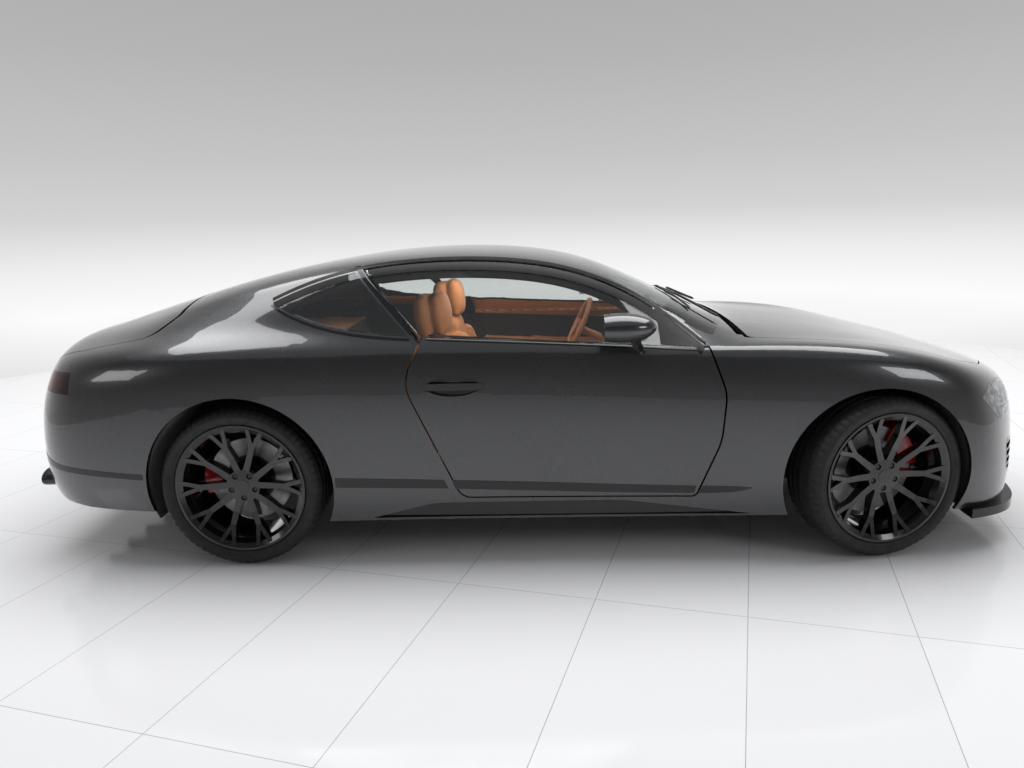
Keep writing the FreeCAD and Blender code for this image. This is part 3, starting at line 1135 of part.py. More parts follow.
# Door mirrors on their stalks
mirror_sections = [(330, 84, 56), (380, 87, 61), (440, 84, 60), (500, 66, 48), (540, 36, 27), (552, 12, 9)]
mirror_y = -985.0
mirror_z = 1072.0
ovals = []
for x, half_width, half_height in mirror_sections:
    ring = Part.Ellipse(Vector(x, mirror_y + half_width, mirror_z), Vector(x, mirror_y, mirror_z + half_height),
                        Vector(x, mirror_y, mirror_z))
    ovals.append(Part.Wire(ring.toShape()))
mirror_cap = Part.makeLoft(ovals, True)
stalk = bar((505, -880, 935), (455, -970, 1040), 26, 52)
mirror_shape = mirror_cap.fuse(stalk.cut(outer))
keep("mirror_right", mirror_shape)
keep("mirror_left", mirror(solids_only(mirror_shape)))

for name in list(pieces):
    shape = pieces[name]
    print(name, shape.isValid(), len(shape.Solids), round(shape.Volume / 1e6, 2))
    shape.exportStep("parts/" + name + ".step")
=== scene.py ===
import bpy
import bmesh
import math
from mathutils import Matrix, Vector
from mathutils.bvhtree import BVHTree


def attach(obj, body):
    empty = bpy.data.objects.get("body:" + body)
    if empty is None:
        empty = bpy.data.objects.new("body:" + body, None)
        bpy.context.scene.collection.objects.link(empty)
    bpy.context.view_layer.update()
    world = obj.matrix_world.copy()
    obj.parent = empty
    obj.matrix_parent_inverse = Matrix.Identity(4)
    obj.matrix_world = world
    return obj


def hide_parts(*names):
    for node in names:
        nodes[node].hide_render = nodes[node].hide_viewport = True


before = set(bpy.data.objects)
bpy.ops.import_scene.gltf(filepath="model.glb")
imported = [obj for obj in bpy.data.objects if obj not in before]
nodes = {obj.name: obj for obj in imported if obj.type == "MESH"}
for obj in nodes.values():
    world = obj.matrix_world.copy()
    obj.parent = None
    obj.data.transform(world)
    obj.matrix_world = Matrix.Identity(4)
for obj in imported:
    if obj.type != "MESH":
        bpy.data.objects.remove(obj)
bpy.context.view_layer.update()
scene = bpy.context.scene

# Wheel centres and steering angle of the CAD, in metres and radians
HUB_Z = 0.370
FRONT_X = 1.545
REAR_X = -1.306
FRONT_Y = 0.828
REAR_Y = 0.812
KINGPIN_BACK = 0.092
STEER = math.radians(12.0)
SIDES = {"right": -1, "left": 1}
FULL_TURN = 2 * math.pi

# Camera at the photograph's place, worked out from the floor tiles and the wheels
PHOTO_WIDTH = 1024
FOCAL_PIXELS = 788.4
SENSOR_WIDTH = 36.0
CAMERA_PLACE = (0.0565, -4.298, 1.556)
CAMERA_YAW_PITCH_ROLL = (-2.05, -12.21, -1.52)


def make_camera():
    data = bpy.data.cameras.new("camera")
    data.sensor_width = SENSOR_WIDTH
    data.lens = FOCAL_PIXELS / PHOTO_WIDTH * SENSOR_WIDTH
    data.clip_end = 100
    camera = bpy.data.objects.new("camera", data)
    scene.collection.objects.link(camera)
    yaw, pitch, roll = (math.radians(v) for v in CAMERA_YAW_PITCH_ROLL)
    ahead = Vector((math.sin(yaw) * math.cos(pitch), math.cos(yaw) * math.cos(pitch), math.sin(pitch)))
    right = Vector((math.cos(yaw), -math.sin(yaw), 0))
    up = right.cross(ahead)
    turned_right = right * math.cos(roll) + up * math.sin(roll)
    turned_up = up * math.cos(roll) - right * math.sin(roll)
    turn = Matrix((turned_right, turned_up, -ahead)).transposed()
    camera.matrix_world = Matrix.Translation(CAMERA_PLACE) @ turn.to_4x4()
    scene.camera = camera


make_camera()


# Materials
class Maker:
    """One node material, with short calls for the nodes it uses."""

    def __init__(self, name):
        self.material = bpy.data.materials.new(name)
        self.material.use_nodes = True
        self.tree = self.material.node_tree
        self.shader = self.tree.nodes["Principled BSDF"]

    def node(self, kind, **values):
        made = self.tree.nodes.new(kind)
        for key, value in values.items():
            if hasattr(made, key):
                setattr(made, key, value)
            else:
                made.inputs[key.replace("_", " ")].default_value = value
        return made

    def link(self, source, target):
        self.tree.links.new(source, target)

    def set(self, **values):
        for key, value in values.items():
            self.shader.inputs[key.replace("_", " ")].default_value = value

    def place(self):
        return self.node("ShaderNodeTexCoord").outputs["Object"]

    def noise(self, scale, detail=3.0, rough=0.5):
        made = self.node("ShaderNodeTexNoise")
        made.inputs["Scale"].default_value = scale
        made.inputs["Detail"].default_value = detail
        made.inputs["Roughness"].default_value = rough
        self.link(self.place(), made.inputs["Vector"])
        return made.outputs["Fac"]

    def cells(self, scale, feature="F1"):
        made = self.node("ShaderNodeTexVoronoi", feature=feature)
        made.inputs["Scale"].default_value = scale
        self.link(self.place(), made.inputs["Vector"])
        return made

    def span(self, value, low, high, new_low, new_high):
        made = self.node("ShaderNodeMapRange")
        for index, number in enumerate((low, high, new_low, new_high)):
            made.inputs[index + 1].default_value = number
        self.link(value, made.inputs[0])
        return made.outputs[0]

    def mix(self, share, first, second):
        made = self.node("ShaderNodeMix", data_type="RGBA")
        self.link(share, made.inputs[0])
        for socket, value in ((made.inputs[6], first), (made.inputs[7], second)):
            if isinstance(value, bpy.types.NodeSocket):
                self.link(value, socket)
            else:
                socket.default_value = (*value, 1)
        return made.outputs[2]

    def color(self, share, first, second):
        self.link(self.mix(share, first, second), self.shader.inputs["Base Color"])

    def rough(self, share, low, high):
        self.link(self.span(share, 0.3, 0.7, low, high), self.shader.inputs["Roughness"])

    def bump(self, height, distance, strength=1.0, after=None):
        made = self.node("ShaderNodeBump")
        made.inputs["Strength"].default_value = strength
        made.inputs["Distance"].default_value = distance
        self.link(height, made.inputs["Height"])
        if after:
            self.link(after, made.inputs["Normal"])
        self.link(made.outputs[0], self.shader.inputs["Normal"])
        return made.outputs[0]


def paint_material():
    made = Maker("paint")
    flakes = made.cells(900).outputs["Color"]
    tone = made.node("ShaderNodeSeparateColor")
    made.link(flakes, tone.inputs[0])
    made.color(tone.outputs[0], (0.036, 0.037, 0.039), (0.078, 0.079, 0.083))
    made.rough(made.noise(3.0), 0.24, 0.30)
    made.set(Metallic=0.80, Coat_Weight=1.0, Coat_Roughness=0.010, Coat_IOR=1.55)
    made.bump(made.noise(180, 1.0), 0.0002, 0.10)
    return made.material


def two_tone_material(name, level):
    """Car paint above a height and gloss black below it, as on a mirror shell and its foot."""
    made = Maker(name)
    split = made.node("ShaderNodeSeparateXYZ")
    made.link(made.place(), split.inputs[0])
    share = made.span(split.outputs[2], level - 0.0006, level + 0.0006, 0.0, 1.0)
    made.color(share, (0.005, 0.005, 0.006), (0.057, 0.058, 0.061))
    made.link(made.span(share, 0.0, 1.0, 0.0, 0.80), made.shader.inputs["Metallic"])
    made.rough(made.noise(3.0), 0.22, 0.28)
    made.set(Coat_Weight=1.0, Coat_Roughness=0.010, Coat_IOR=1.55)
    made.bump(made.noise(180, 1.0), 0.0002, 0.10)
    return made.material


def glass_material(name, tint, rough=0.0):
    made = Maker(name)
    smear = made.noise(5.0, 4.0)
    made.color(smear, tint, tuple(v * 0.97 for v in tint))
    made.set(Roughness=rough, Transmission_Weight=1.0, IOR=1.5)
    return made.material


def plastic_material(name, color, low, high, grain=700, depth=0.00012, specular=0.5):
    made = Maker(name)
    made.color(made.noise(9.0, 4.0), color, tuple(v * 1.35 + 0.002 for v in color))
    made.rough(made.noise(22.0, 4.0), low, high)
    made.set(Specular_IOR_Level=specular)
    made.bump(made.noise(grain, 3.0), depth, 0.35)
    return made.material


def metal_material(name, color, low, high, grain=320, depth=0.0001, coat=0.0, metallic=1.0):
    made = Maker(name)
    made.color(made.noise(7.0, 5.0), color, tuple(v * 0.7 for v in color))
    made.rough(made.noise(34.0, 5.0), low, high)
    made.set(Metallic=metallic, Coat_Weight=coat, Coat_Roughness=0.04)
    made.bump(made.noise(grain, 4.0), depth, 0.3)
    return made.material


def leather_material(name, color, grain=420.0):
    """Leather: fine pebbled grain, wrinkles and slow colour changes."""
    made = Maker(name)
    pebble = made.cells(grain, "DISTANCE_TO_EDGE").outputs["Distance"]
    height = made.span(pebble, 0.0, 0.25, 0.0, 1.0)
    slow = made.noise(6.0, 5.0, 0.6)
    made.color(slow, tuple(v * 0.82 for v in color), tuple(min(1.0, v * 1.14) for v in color))
    made.rough(made.noise(60.0, 3.0), 0.40, 0.52)
    made.set(Specular_IOR_Level=0.45, Sheen_Weight=0.08, Sheen_Roughness=0.4)
    grainy = made.bump(height, 0.0004, 0.35)
    made.bump(made.noise(26.0, 4.0), 0.0012, 0.2, grainy)
    return made.material


def cloth_material(name, color, scale=900.0):
    made = Maker(name)
    threads = made.node("ShaderNodeTexWave", wave_type="BANDS", bands_direction="DIAGONAL")
    threads.inputs["Scale"].default_value = scale
    threads.inputs["Distortion"].default_value = 1.5
    made.link(made.place(), threads.inputs["Vector"])
    made.color(made.noise(40.0, 4.0), color, tuple(v * 1.5 + 0.004 for v in color))
    made.rough(made.noise(90.0), 0.85, 0.98)
    made.set(Sheen_Weight=0.25, Sheen_Roughness=0.6)
    made.bump(threads.outputs["Fac"], 0.0005, 0.4)
    return made.material


def disc_material(name, centre, turn):
    """Turned iron: fine rings about the hub."""
    made = Maker(name)
    moved = made.node("ShaderNodeVectorMath", operation="SUBTRACT")
    made.link(made.place(), moved.inputs[0])
    moved.inputs[1].default_value = centre
    turned = made.node("ShaderNodeVectorRotate", rotation_type="Z_AXIS")
    turned.inputs["Angle"].default_value = -turn
    made.link(moved.outputs[0], turned.inputs["Vector"])
    flat = made.node("ShaderNodeVectorMath", operation="MULTIPLY")
    made.link(turned.outputs[0], flat.inputs[0])
    flat.inputs[1].default_value = (1, 0, 1)
    reach = made.node("ShaderNodeVectorMath", operation="LENGTH")
    made.link(flat.outputs[0], reach.inputs[0])
    rings = made.node("ShaderNodeMath", operation="SINE")
    stretched = made.node("ShaderNodeMath", operation="MULTIPLY")
    stretched.inputs[1].default_value = 3200.0
    made.link(reach.outputs["Value"], stretched.inputs[0])
    made.link(stretched.outputs[0], rings.inputs[0])
    hat = made.span(reach.outputs["Value"], 0.112, 0.120, 0.0, 1.0)
    grey = made.mix(made.noise(30.0, 4.0), (0.36, 0.36, 0.37), (0.25, 0.25, 0.26))
    made.color(hat, (0.03, 0.03, 0.03), grey)
    made.rough(made.noise(60.0), 0.28, 0.42)
    made.set(Metallic=0.9)
    made.bump(rings.outputs[0], 0.0002, 0.3)
    return made.material


PAINT = paint_material()
SIDE_GLASS = glass_material("side_glass", (0.80, 0.83, 0.82))
SCREEN_GLASS = glass_material("screen_glass", (0.66, 0.69, 0.69))
CLEAR = glass_material("clear_lens", (0.96, 0.97, 0.98))
RED_LENS = glass_material("red_lens", (0.42, 0.012, 0.010), 0.03)
BLACK_GLOSS = plastic_material("black_gloss", (0.004, 0.004, 0.005), 0.06, 0.12, 300, 0.00004)
BORDER = plastic_material("glass_border", (0.002, 0.002, 0.002), 0.22, 0.34, 300, 0.00003, 0.12)
BLACK_MATTE = plastic_material("black_matte", (0.014, 0.014, 0.015), 0.48, 0.66)
LINER = cloth_material("arch_liner", (0.010, 0.010, 0.010), 420.0)
WHEEL_BLACK = metal_material("wheel_black", (0.007, 0.007, 0.008), 0.12, 0.20, 260, 0.00004, 0.6, 0.0)
RUBBER = plastic_material("rubber", (0.012, 0.012, 0.012), 0.52, 0.72, 1400, 0.0002)
CALIPER = metal_material("caliper_red", (0.52, 0.008, 0.012), 0.18, 0.30, 200, 0.0001, 0.7, 0.0)
STEEL = metal_material("coated_steel", (0.10, 0.10, 0.105), 0.45, 0.62)
CAST = metal_material("cast_alloy", (0.36, 0.36, 0.37), 0.42, 0.6, 500, 0.0004)
EXHAUST = metal_material("dark_exhaust", (0.07, 0.07, 0.075), 0.16, 0.3)
LAMP_METAL = metal_material("lamp_metal", (0.30, 0.31, 0.33), 0.10, 0.22)
TAN = leather_material("tan_leather", (0.52, 0.205, 0.070))
DARK_LEATHER = leather_material("dark_leather", (0.018, 0.016, 0.015))
CARPET = cloth_material("carpet", (0.016, 0.013, 0.011), 1200.0)
HEADLINING = cloth_material("headlining", (0.030, 0.027, 0.025))


def coat(names, material):
    for name in names:
        node = nodes[name]
        node.data.materials.clear()
        node.data.materials.append(material)


coat(["body_side_right", "body_side_left", "roof_panel", "front_wings", "front_bumper", "rear_bumper",
      "bonnet", "boot_lid", "door_right", "door_left", "handle_right", "handle_left"], PAINT)
coat(["mirror_right", "mirror_left"], two_tone_material("mirror_paint", 1.052))
coat(["door_glass_right", "door_glass_left", "quarter_windows"], SIDE_GLASS)
coat(["windscreen", "rear_window"], SCREEN_GLASS)
coat(["headlamp_lenses"], CLEAR)
coat(["tail_lamp_lenses"], RED_LENS)
coat(["headlamp_units"], LAMP_METAL)
coat(["tail_lamp_units", "grille", "lower_trim"], BLACK_GLOSS)
coat(["scuttle_tray", "scuttle_wall", "radiator_panel"], BLACK_MATTE)
coat(["floor_pan", "tunnel", "rear_floor"], CARPET)
coat(["wheel_liners"], LINER)
coat(["rear_shelf", "front_seats", "rear_seats", "steering_wheel"], TAN)
coat(["front_frame", "rear_frame", "seat_rails"], STEEL)
coat(["engine_block", "knuckle_front_right", "knuckle_front_left"], CAST)
coat(["exhaust"], EXHAUST)
coat(["dashboard", "centre_console"], DARK_LEATHER)
coat(["rear_calipers", "caliper_front_right", "caliper_front_left"], CALIPER)
for side, sign in SIDES.items():
    coat(["rim_front_" + side, "rim_rear_" + side], WHEEL_BLACK)
    coat(["tyre_front_" + side, "tyre_rear_" + side], RUBBER)
    pin = Vector((FRONT_X, sign * (FRONT_Y - KINGPIN_BACK), HUB_Z))
    front_hub = pin + Vector((-sign * math.sin(STEER), sign * math.cos(STEER), 0)) * KINGPIN_BACK
    rear_hub = Vector((REAR_X, sign * REAR_Y, HUB_Z))
    coat(["disc_front_" + side], disc_material("disc_front_" + side, front_hub, STEER))
    coat(["disc_rear_" + side], disc_material("disc_rear_" + side, rear_hub, 0.0))


# Helpers for pieces
def add_object(name, mesh, material, body, smooth=True):
    piece = bpy.data.objects.new(name, mesh)
    scene.collection.objects.link(piece)
    if material:
        mesh.materials.append(material)
    if smooth:
        for polygon in mesh.polygons:
            polygon.use_smooth = True
    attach(piece, body)
    return piece


def circle(count):
    """Angles spaced evenly around a full turn."""
    return [FULL_TURN * step / count for step in range(count)]


def grid_mesh(name, rows, close_rows=False, close_columns=False):
    """Mesh over a grid of points, given as rows of equal length."""
    made = bmesh.new()
    lines = [[made.verts.new(point) for point in row] for row in rows]
    count = len(lines)
    width = len(lines[0])
    for i in range(count if close_rows else count - 1):
        for j in range(width if close_columns else width - 1):
            low, high = lines[i], lines[(i + 1) % count]
            made.faces.new((low[j], low[(j + 1) % width], high[(j + 1) % width], high[j]))
    bmesh.ops.recalc_face_normals(made, faces=made.faces)
    mesh = bpy.data.meshes.new(name)
    made.to_mesh(mesh)
    made.free()
    return mesh


def catmull(points, steps):
    """Points on a smooth curve through the given points."""
    found = []
    last = len(points) - 1
    vectors = [Vector(p) for p in points]
    for index in range(last):
        a, b = vectors[max(index - 1, 0)], vectors[index]
        c, d = vectors[index + 1], vectors[min(index + 2, last)]
        for step in range(steps):
            t = step / steps
            found.append(0.5 * (2 * b + (c - a) * t + (2 * a - 5 * b + 4 * c - d) * t * t
                                + (3 * b - a - 3 * c + d) * t ** 3))
    found.append(vectors[-1])
    return found


def spread(points, count):
    """Points spaced evenly along a line of points."""
    lengths = [0.0]
    for a, b in zip(points, points[1:]):
        lengths.append(lengths[-1] + (b - a).length)
    found = []
    index = 0
    for step in range(count):
        goal = lengths[-1] * step / (count - 1)
        while index < len(points) - 2 and lengths[index + 1] < goal:
            index += 1
        gap = lengths[index + 1] - lengths[index]
        share = 0.0 if gap == 0 else (goal - lengths[index]) / gap
        found.append(points[index].lerp(points[index + 1], min(share, 1.0)))
    return found


def tree_of(names):
    """Search tree over the faces of some CAD nodes."""
    corners, faces = [], []
    for name in names:
        mesh = nodes[name].data
        start = len(corners)
        corners += [v.co.copy() for v in mesh.vertices]
        faces += [[start + index for index in polygon.vertices] for polygon in mesh.polygons]
    return BVHTree.FromPolygons(corners, faces)


def side_point(tree, x, z, sign, lift):
    """Point on the skin seen from the side, lifted off it."""
    hit, normal, _, _ = tree.ray_cast(Vector((x, sign * 1.4, z)), Vector((0, -sign, 0)))
    if hit is None:
        return None
    if normal.y * sign < 0:
        normal = -normal
    return hit + normal * lift


def thicken(piece, thickness):
    """Give a sheet its thickness, half to each side."""
    shell = piece.modifiers.new("shell", "SOLIDIFY")
    shell.thickness = thickness
    shell.offset = 0.0


def corner_place(front, sign):
    """Matrix that carries a piece made about the wheel centre, outboard along +Y, to its corner."""
    flip = Matrix.Scale(-1, 4, (0, 1, 0)) if sign < 0 else Matrix.Identity(4)
    if not front:
        return Matrix.Translation((REAR_X, sign * REAR_Y, HUB_Z)) @ flip
    pin = Matrix.Translation((FRONT_X, sign * (FRONT_Y - KINGPIN_BACK), HUB_Z))
    out = Matrix.Translation((0, sign * KINGPIN_BACK, 0))
    return pin @ Matrix.Rotation(STEER, 4, "Z") @ out @ flip


# Tyres with tread, in place of the plain CAD rings
BEAD_RADIUS = 0.274
TYRE_RADIUS = HUB_Z
TYRE_STEPS = 260
TREAD_INSET = 0.036         # from the tyre's widest point to the tread's edge
GROOVES = (-0.62, -0.22, 0.22, 0.62)        # shares of half the tread's width
GROOVE_TOP, GROOVE_FOOT = 0.062, 0.052      # half widths of a groove, in the same shares
GROOVE_DEPTH = 0.0065
SHOULDER_CUT = 0.0048
BLOCK_CUT = 0.0030


def tyre_mesh(name, width, place):
    """Tyre about its own centre: side walls with rings, grooved tread and the hollow inside."""
    half = width / 2
    sidewall = [(BEAD_RADIUS, half - 0.024), (0.2985, half - 0.024), (0.3010, half - 0.0165),
                (0.3075, half - 0.0098), (0.3130, half - 0.0080), (0.3135, half - 0.0068),
                (0.3160, half - 0.0064), (0.3165, half - 0.0052), (0.3250, half - 0.0030),
                (0.3320, half - 0.0015), (0.3380, half - 0.0022), (0.3384, half - 0.0040),
                (0.3420, half - 0.0050), (0.3480, half - 0.0085), (0.3540, half - 0.0135),
                (0.3590, half - 0.0200), (0.3625, half - 0.0270), (0.3650, half - 0.0340)]
    reach = half - TREAD_INSET
    marks = [1.0]
    for groove in reversed(GROOVES):
        marks += [groove + GROOVE_TOP, groove + GROOVE_FOOT, groove - GROOVE_FOOT, groove - GROOVE_TOP]
    marks.append(-1.0)
    tread = []
    for index, mark in enumerate(marks):
        crown = TYRE_RADIUS - 0.0028 * mark * mark - 0.0004
        deep = index % 4 in (2, 3) and 0 < index < len(marks) - 1
        tread.append((crown - (GROOVE_DEPTH if deep else 0.0), mark * reach))
    other_wall = [(radius, -out) for radius, out in reversed(sidewall)]
    inner = [(0.284, -half + 0.030), (0.300, -half + 0.024), (0.352, -half + 0.042),
             (0.353, half - 0.042), (0.300, half - 0.024), (0.284, half - 0.030)]
    profile = sidewall + tread + other_wall + inner
    cut_from = len(sidewall) - 5
    cut_to = len(sidewall) + len(tread) + 5
    rows = []
    for step, angle in enumerate(circle(TYRE_STEPS)):
        row = []
        for index, (radius, out) in enumerate(profile):
            drop, shift = 0.0, 0.0
            if cut_from <= index < cut_to:
                across = out / reach
                phase = step + (2 if across < 0 else 0)
                if abs(across) > 0.70 and phase % 4 == 0:
                    drop = SHOULDER_CUT
                if 0.3 < abs(across) < 0.56 and phase % 5 == 0:
                    drop = BLOCK_CUT
                shift = 0.010 * across * abs(across)
            row.append(place @ Vector(((radius - drop) * math.cos(angle + shift), out,
                                       (radius - drop) * math.sin(angle + shift))))
        rows.append(row)
    return grid_mesh(name, rows, close_rows=True, close_columns=True)


# Wheel bolts
BOLTS = 5
BOLT_CIRCLE = 0.056
BOLT_INSET = 0.010


def bolt_mesh(name, place, face_y):
    """Hexagon heads on round collars, on a circle about the wheel's axis."""
    made = bmesh.new()
    upright = Matrix.Rotation(math.radians(-90), 4, "X")
    for bolt in range(BOLTS):
        angle = math.radians(90 + 360 / BOLTS * (bolt + 0.5))
        spot = place @ Matrix.Translation((BOLT_CIRCLE * math.cos(angle), face_y - BOLT_INSET,
                                           BOLT_CIRCLE * math.sin(angle)))
        bmesh.ops.create_cone(made, cap_ends=True, segments=6, radius1=0.0098, radius2=0.0092,
                              depth=0.014, matrix=spot @ upright)
        collar = spot @ Matrix.Translation((0, -0.006, 0)) @ upright
        bmesh.ops.create_cone(made, cap_ends=True, segments=24, radius1=0.0118, radius2=0.0104,
                              depth=0.004, matrix=collar)
    mesh = bpy.data.meshes.new(name)
    made.to_mesh(mesh)
    made.free()
    return mesh


TYRE_WIDTH = {"front": 0.275, "rear": 0.315}
HUB_FACE = {"front": 0.0835, "rear": 0.1035}
for side, sign in SIDES.items():
    for end in ("front", "rear"):
        label = end + "_" + side
        mesh = tyre_mesh("tyre_tread_" + label, TYRE_WIDTH[end], corner_place(end == "front", sign))
        tyre = add_object("tyre_tread_" + label, mesh, RUBBER, "wheel_" + label)
        mesh.set_sharp_from_angle(angle=math.radians(38))
        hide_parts("tyre_" + label)
for side, sign in SIDES.items():
    for end in ("front", "rear"):
        label = end + "_" + side
        bolts = bolt_mesh("wheel_bolts_" + label, corner_place(end == "front", sign), HUB_FACE[end])
        add_object("wheel_bolts_" + label, bolts, STEEL, "wheel_" + label, smooth=False)


# Black trim on the skin
# Control points of the side windows' outlines, seen from the side, as the CAD draws them
WINDOW_TOP = [(0.780, 0.963), (0.600, 1.115), (0.320, 1.272), (-0.060, 1.345), (-0.580, 1.352),
              (-0.930, 1.290), (-1.152, 1.186)]
WINDOW_FOOT = [(-1.152, 1.186), (-0.925, 1.062), (-0.455, 1.033), (0.200, 1.000), (0.780, 0.963)]
DEGREE = 3
BAND_LIFT = 0.0012
BAND_ROWS = 6
LINE_LIFT = 0.0014
LINE_ROWS = 4


def b_spline(points, count):
    """Points on the clamped cubic spline whose control points are given."""
    order = DEGREE + 1
    spans = len(points) - DEGREE
    knots = [0.0] * order + [float(k) for k in range(1, spans)] + [float(spans)] * order
    found = []
    for step in range(count):
        t = spans * min(step / (count - 1), 0.999999)
        span = max(k for k in range(DEGREE, len(points)) if knots[k] <= t)
        first = span - DEGREE
        work = [Vector(points[first + i]) for i in range(order)]
        for level in range(1, order):
            for j in range(DEGREE, level - 1, -1):
                low = knots[j + first]
                high = knots[j + 1 + span - level]
                work[j] = work[j - 1].lerp(work[j], (t - low) / (high - low))
        found.append(work[DEGREE])
    return found


def offset_line(points, gap):
    """Side-view line moved to its own left by the gap."""
    found = []
    for index, point in enumerate(points):
        ahead = points[min(index + 1, len(points) - 1)] - points[max(index - 1, 0)]
        ahead.normalize()
        found.append(point + Vector((-ahead.y, ahead.x)) * gap)
    return found


def line_band(name, line, near, far, tree, sign, material, body):
    """Band on the skin that runs along a side-view line, from one offset to another."""
    grid = []
    for step in range(LINE_ROWS):
        row = []
        for spot in offset_line(line, near + (far - near) * step / (LINE_ROWS - 1)):
            point = side_point(tree, spot.x, spot.y, sign, LINE_LIFT)
            row.append(point or (row[-1] if row else Vector((spot.x, sign * 0.8, spot.y))))
        grid.append(row)
    add_object(name, grid_mesh(name, grid), material, body)


def side_band(name, first, second, columns, tree, sign, material, body):
    """Thin band that lies on the skin between two side-view lines."""
    one = spread(catmull([(x, 0, z) for x, z in first], 12), columns)
    two = spread(catmull([(x, 0, z) for x, z in second], 12), columns)
    grid = []
    for step in range(BAND_ROWS):
        row = []
        for a, b in zip(one, two):
            spot = a.lerp(b, step / (BAND_ROWS - 1))
            point = side_point(tree, spot.x, spot.z, sign, BAND_LIFT)
            row.append(point or (row[-1] if row else Vector((spot.x, sign * 0.93, spot.z))))
        grid.append(row)
    add_object(name, grid_mesh(name, grid), material, body)


# Bands by name: upper line, lower line, columns, material and body
SIDE_BANDS = {
    "window_sail": ([(0.590, 1.117), (0.680, 1.049), (0.772, 0.968)],
                    [(0.590, 0.978), (0.680, 0.972), (0.772, 0.965)], 30, BORDER, "door"),
    "pillar_cover": ([(-0.470, 1.040), (-0.600, 1.180), (-0.744, 1.338)],
                     [(-0.512, 1.044), (-0.642, 1.180), (-0.786, 1.334)], 40, BLACK_GLOSS, "shell"),
    "sill_strip_rear": ([(-0.868, 0.418), (-0.650, 0.408), (-0.380, 0.396)],
                        [(-0.868, 0.372), (-0.650, 0.364), (-0.362, 0.354)], 80, BLACK_GLOSS, "shell"),
    "door_strip": ([(-0.346, 0.394), (0.000, 0.380), (0.400, 0.362), (0.745, 0.350)],
                   [(-0.330, 0.352), (0.000, 0.338), (0.400, 0.323), (0.737, 0.316)], 80, BLACK_GLOSS,
                   "door"),
    "tail_strip": ([(-2.335, 0.505), (-2.228, 0.470), (-2.092, 0.460), (-1.900, 0.452), (-1.745, 0.445)],
                   [(-2.335, 0.470), (-2.228, 0.440), (-2.092, 0.432), (-1.900, 0.425), (-1.745, 0.417)],
                   80, BLACK_GLOSS, "shell"),
    "wing_strip": ([(0.765, 0.350), (0.900, 0.347), (0.988, 0.340)],
                   [(0.757, 0.315), (0.900, 0.318), (0.988, 0.336)], 80, BLACK_GLOSS, "shell"),
}

# Roof rail lining: distance outside the window's outline and inwards of the skin, from edge to edge
RAIL_SECTION = [(0.002, 0.016), (0.018, 0.024), (0.040, 0.034), (0.062, 0.046), (0.072, 0.060),
                (0.066, 0.074), (0.050, 0.082)]
HANDLE_X, HANDLE_Y, HANDLE_Z = -0.322, 0.9345, 0.824
DISH_HALF_LENGTH, DISH_HALF_HEIGHT = 0.118, 0.043
DISH_RINGS = 8


def cant_rail(side, sign, line, tree):
    """Dark lining of the roof rail and pillars, just inside the glass."""
    grid = []
    for gap, inward in RAIL_SECTION:
        row = []
        for spot in offset_line(line, gap):
            point = side_point(tree, spot.x, spot.y, sign, 0.0)
            point = point or (row[-1].copy() if row else Vector((spot.x, sign * 0.74, spot.y)))
            row.append(Vector((spot.x, point.y - sign * inward, spot.y)))
        grid.append(row)
    rail = add_object("cant_rail_" + side, grid_mesh("cant_rail_" + side, grid), DARK_LEATHER, "shell")
    thicken(rail, 0.003)


def handle_recess(side, sign):
    """Black dish behind the door handle."""
    grid = []
    for ring in range(1, DISH_RINGS + 1):
        share = ring / DISH_RINGS * 0.985
        y = sign * (HANDLE_Y - 0.001 * (1 - share))
        grid.append([Vector((HANDLE_X + DISH_HALF_LENGTH * share * math.cos(a), y,
                             HANDLE_Z + DISH_HALF_HEIGHT * share * math.sin(a))) for a in circle(48)])
    add_object("handle_recess_" + side, grid_mesh("handle_recess_" + side, grid, close_columns=True),
               BLACK_GLOSS, "door_" + side)


for side, sign in SIDES.items():
    handle_recess(side, sign)
    door = "door_" + side
    tree = tree_of(["body_side_" + side, door, "front_wings", "rear_bumper", "front_bumper", "roof_panel",
                    "door_glass_" + side, "quarter_windows"])
    top_line = b_spline(WINDOW_TOP, 120)
    foot_line = b_spline(WINDOW_FOOT, 90)
    door_line = [p for p in top_line if p.x > -0.735]
    quarter_line = [p for p in top_line if p.x < -0.795]
    rear_foot = [p for p in foot_line if p.x < -0.505]
    front_foot = [p for p in foot_line if -0.448 < p.x < 0.765]
    line_band("window_trim_top_" + side, top_line, -0.0075, -0.020, tree, sign, BORDER, "shell")
    line_band("glass_border_door_" + side, door_line, 0.0005, 0.034, tree, sign, BORDER, door)
    line_band("glass_border_quarter_" + side, quarter_line, 0.0005, 0.030, tree, sign, BORDER, "shell")
    cant_rail(side, sign, top_line, tree)
    line_band("window_trim_rear_" + side, rear_foot, -0.0075, -0.018, tree, sign, BLACK_GLOSS, "shell")
    line_band("window_trim_belt_" + side, front_foot, -0.0010, -0.013, tree, sign, BLACK_GLOSS, door)
    for label, (upper, lower, columns, material, body) in SIDE_BANDS.items():
        side_band(label + "_" + side, upper, lower, columns, tree, sign, material,
                  door if body == "door" else body)


# Soft seats, in place of the plain CAD seats
BLOCK_CUTS = 6
CLOTH_FRAMES = 20
PRESSURE = 4.0
CHANNELS = (-0.100, -0.050, 0.0, 0.050, 0.100)      # places across a pad
CHANNEL_DEPTH = 0.006
CHANNEL_WIDTH = 0.006


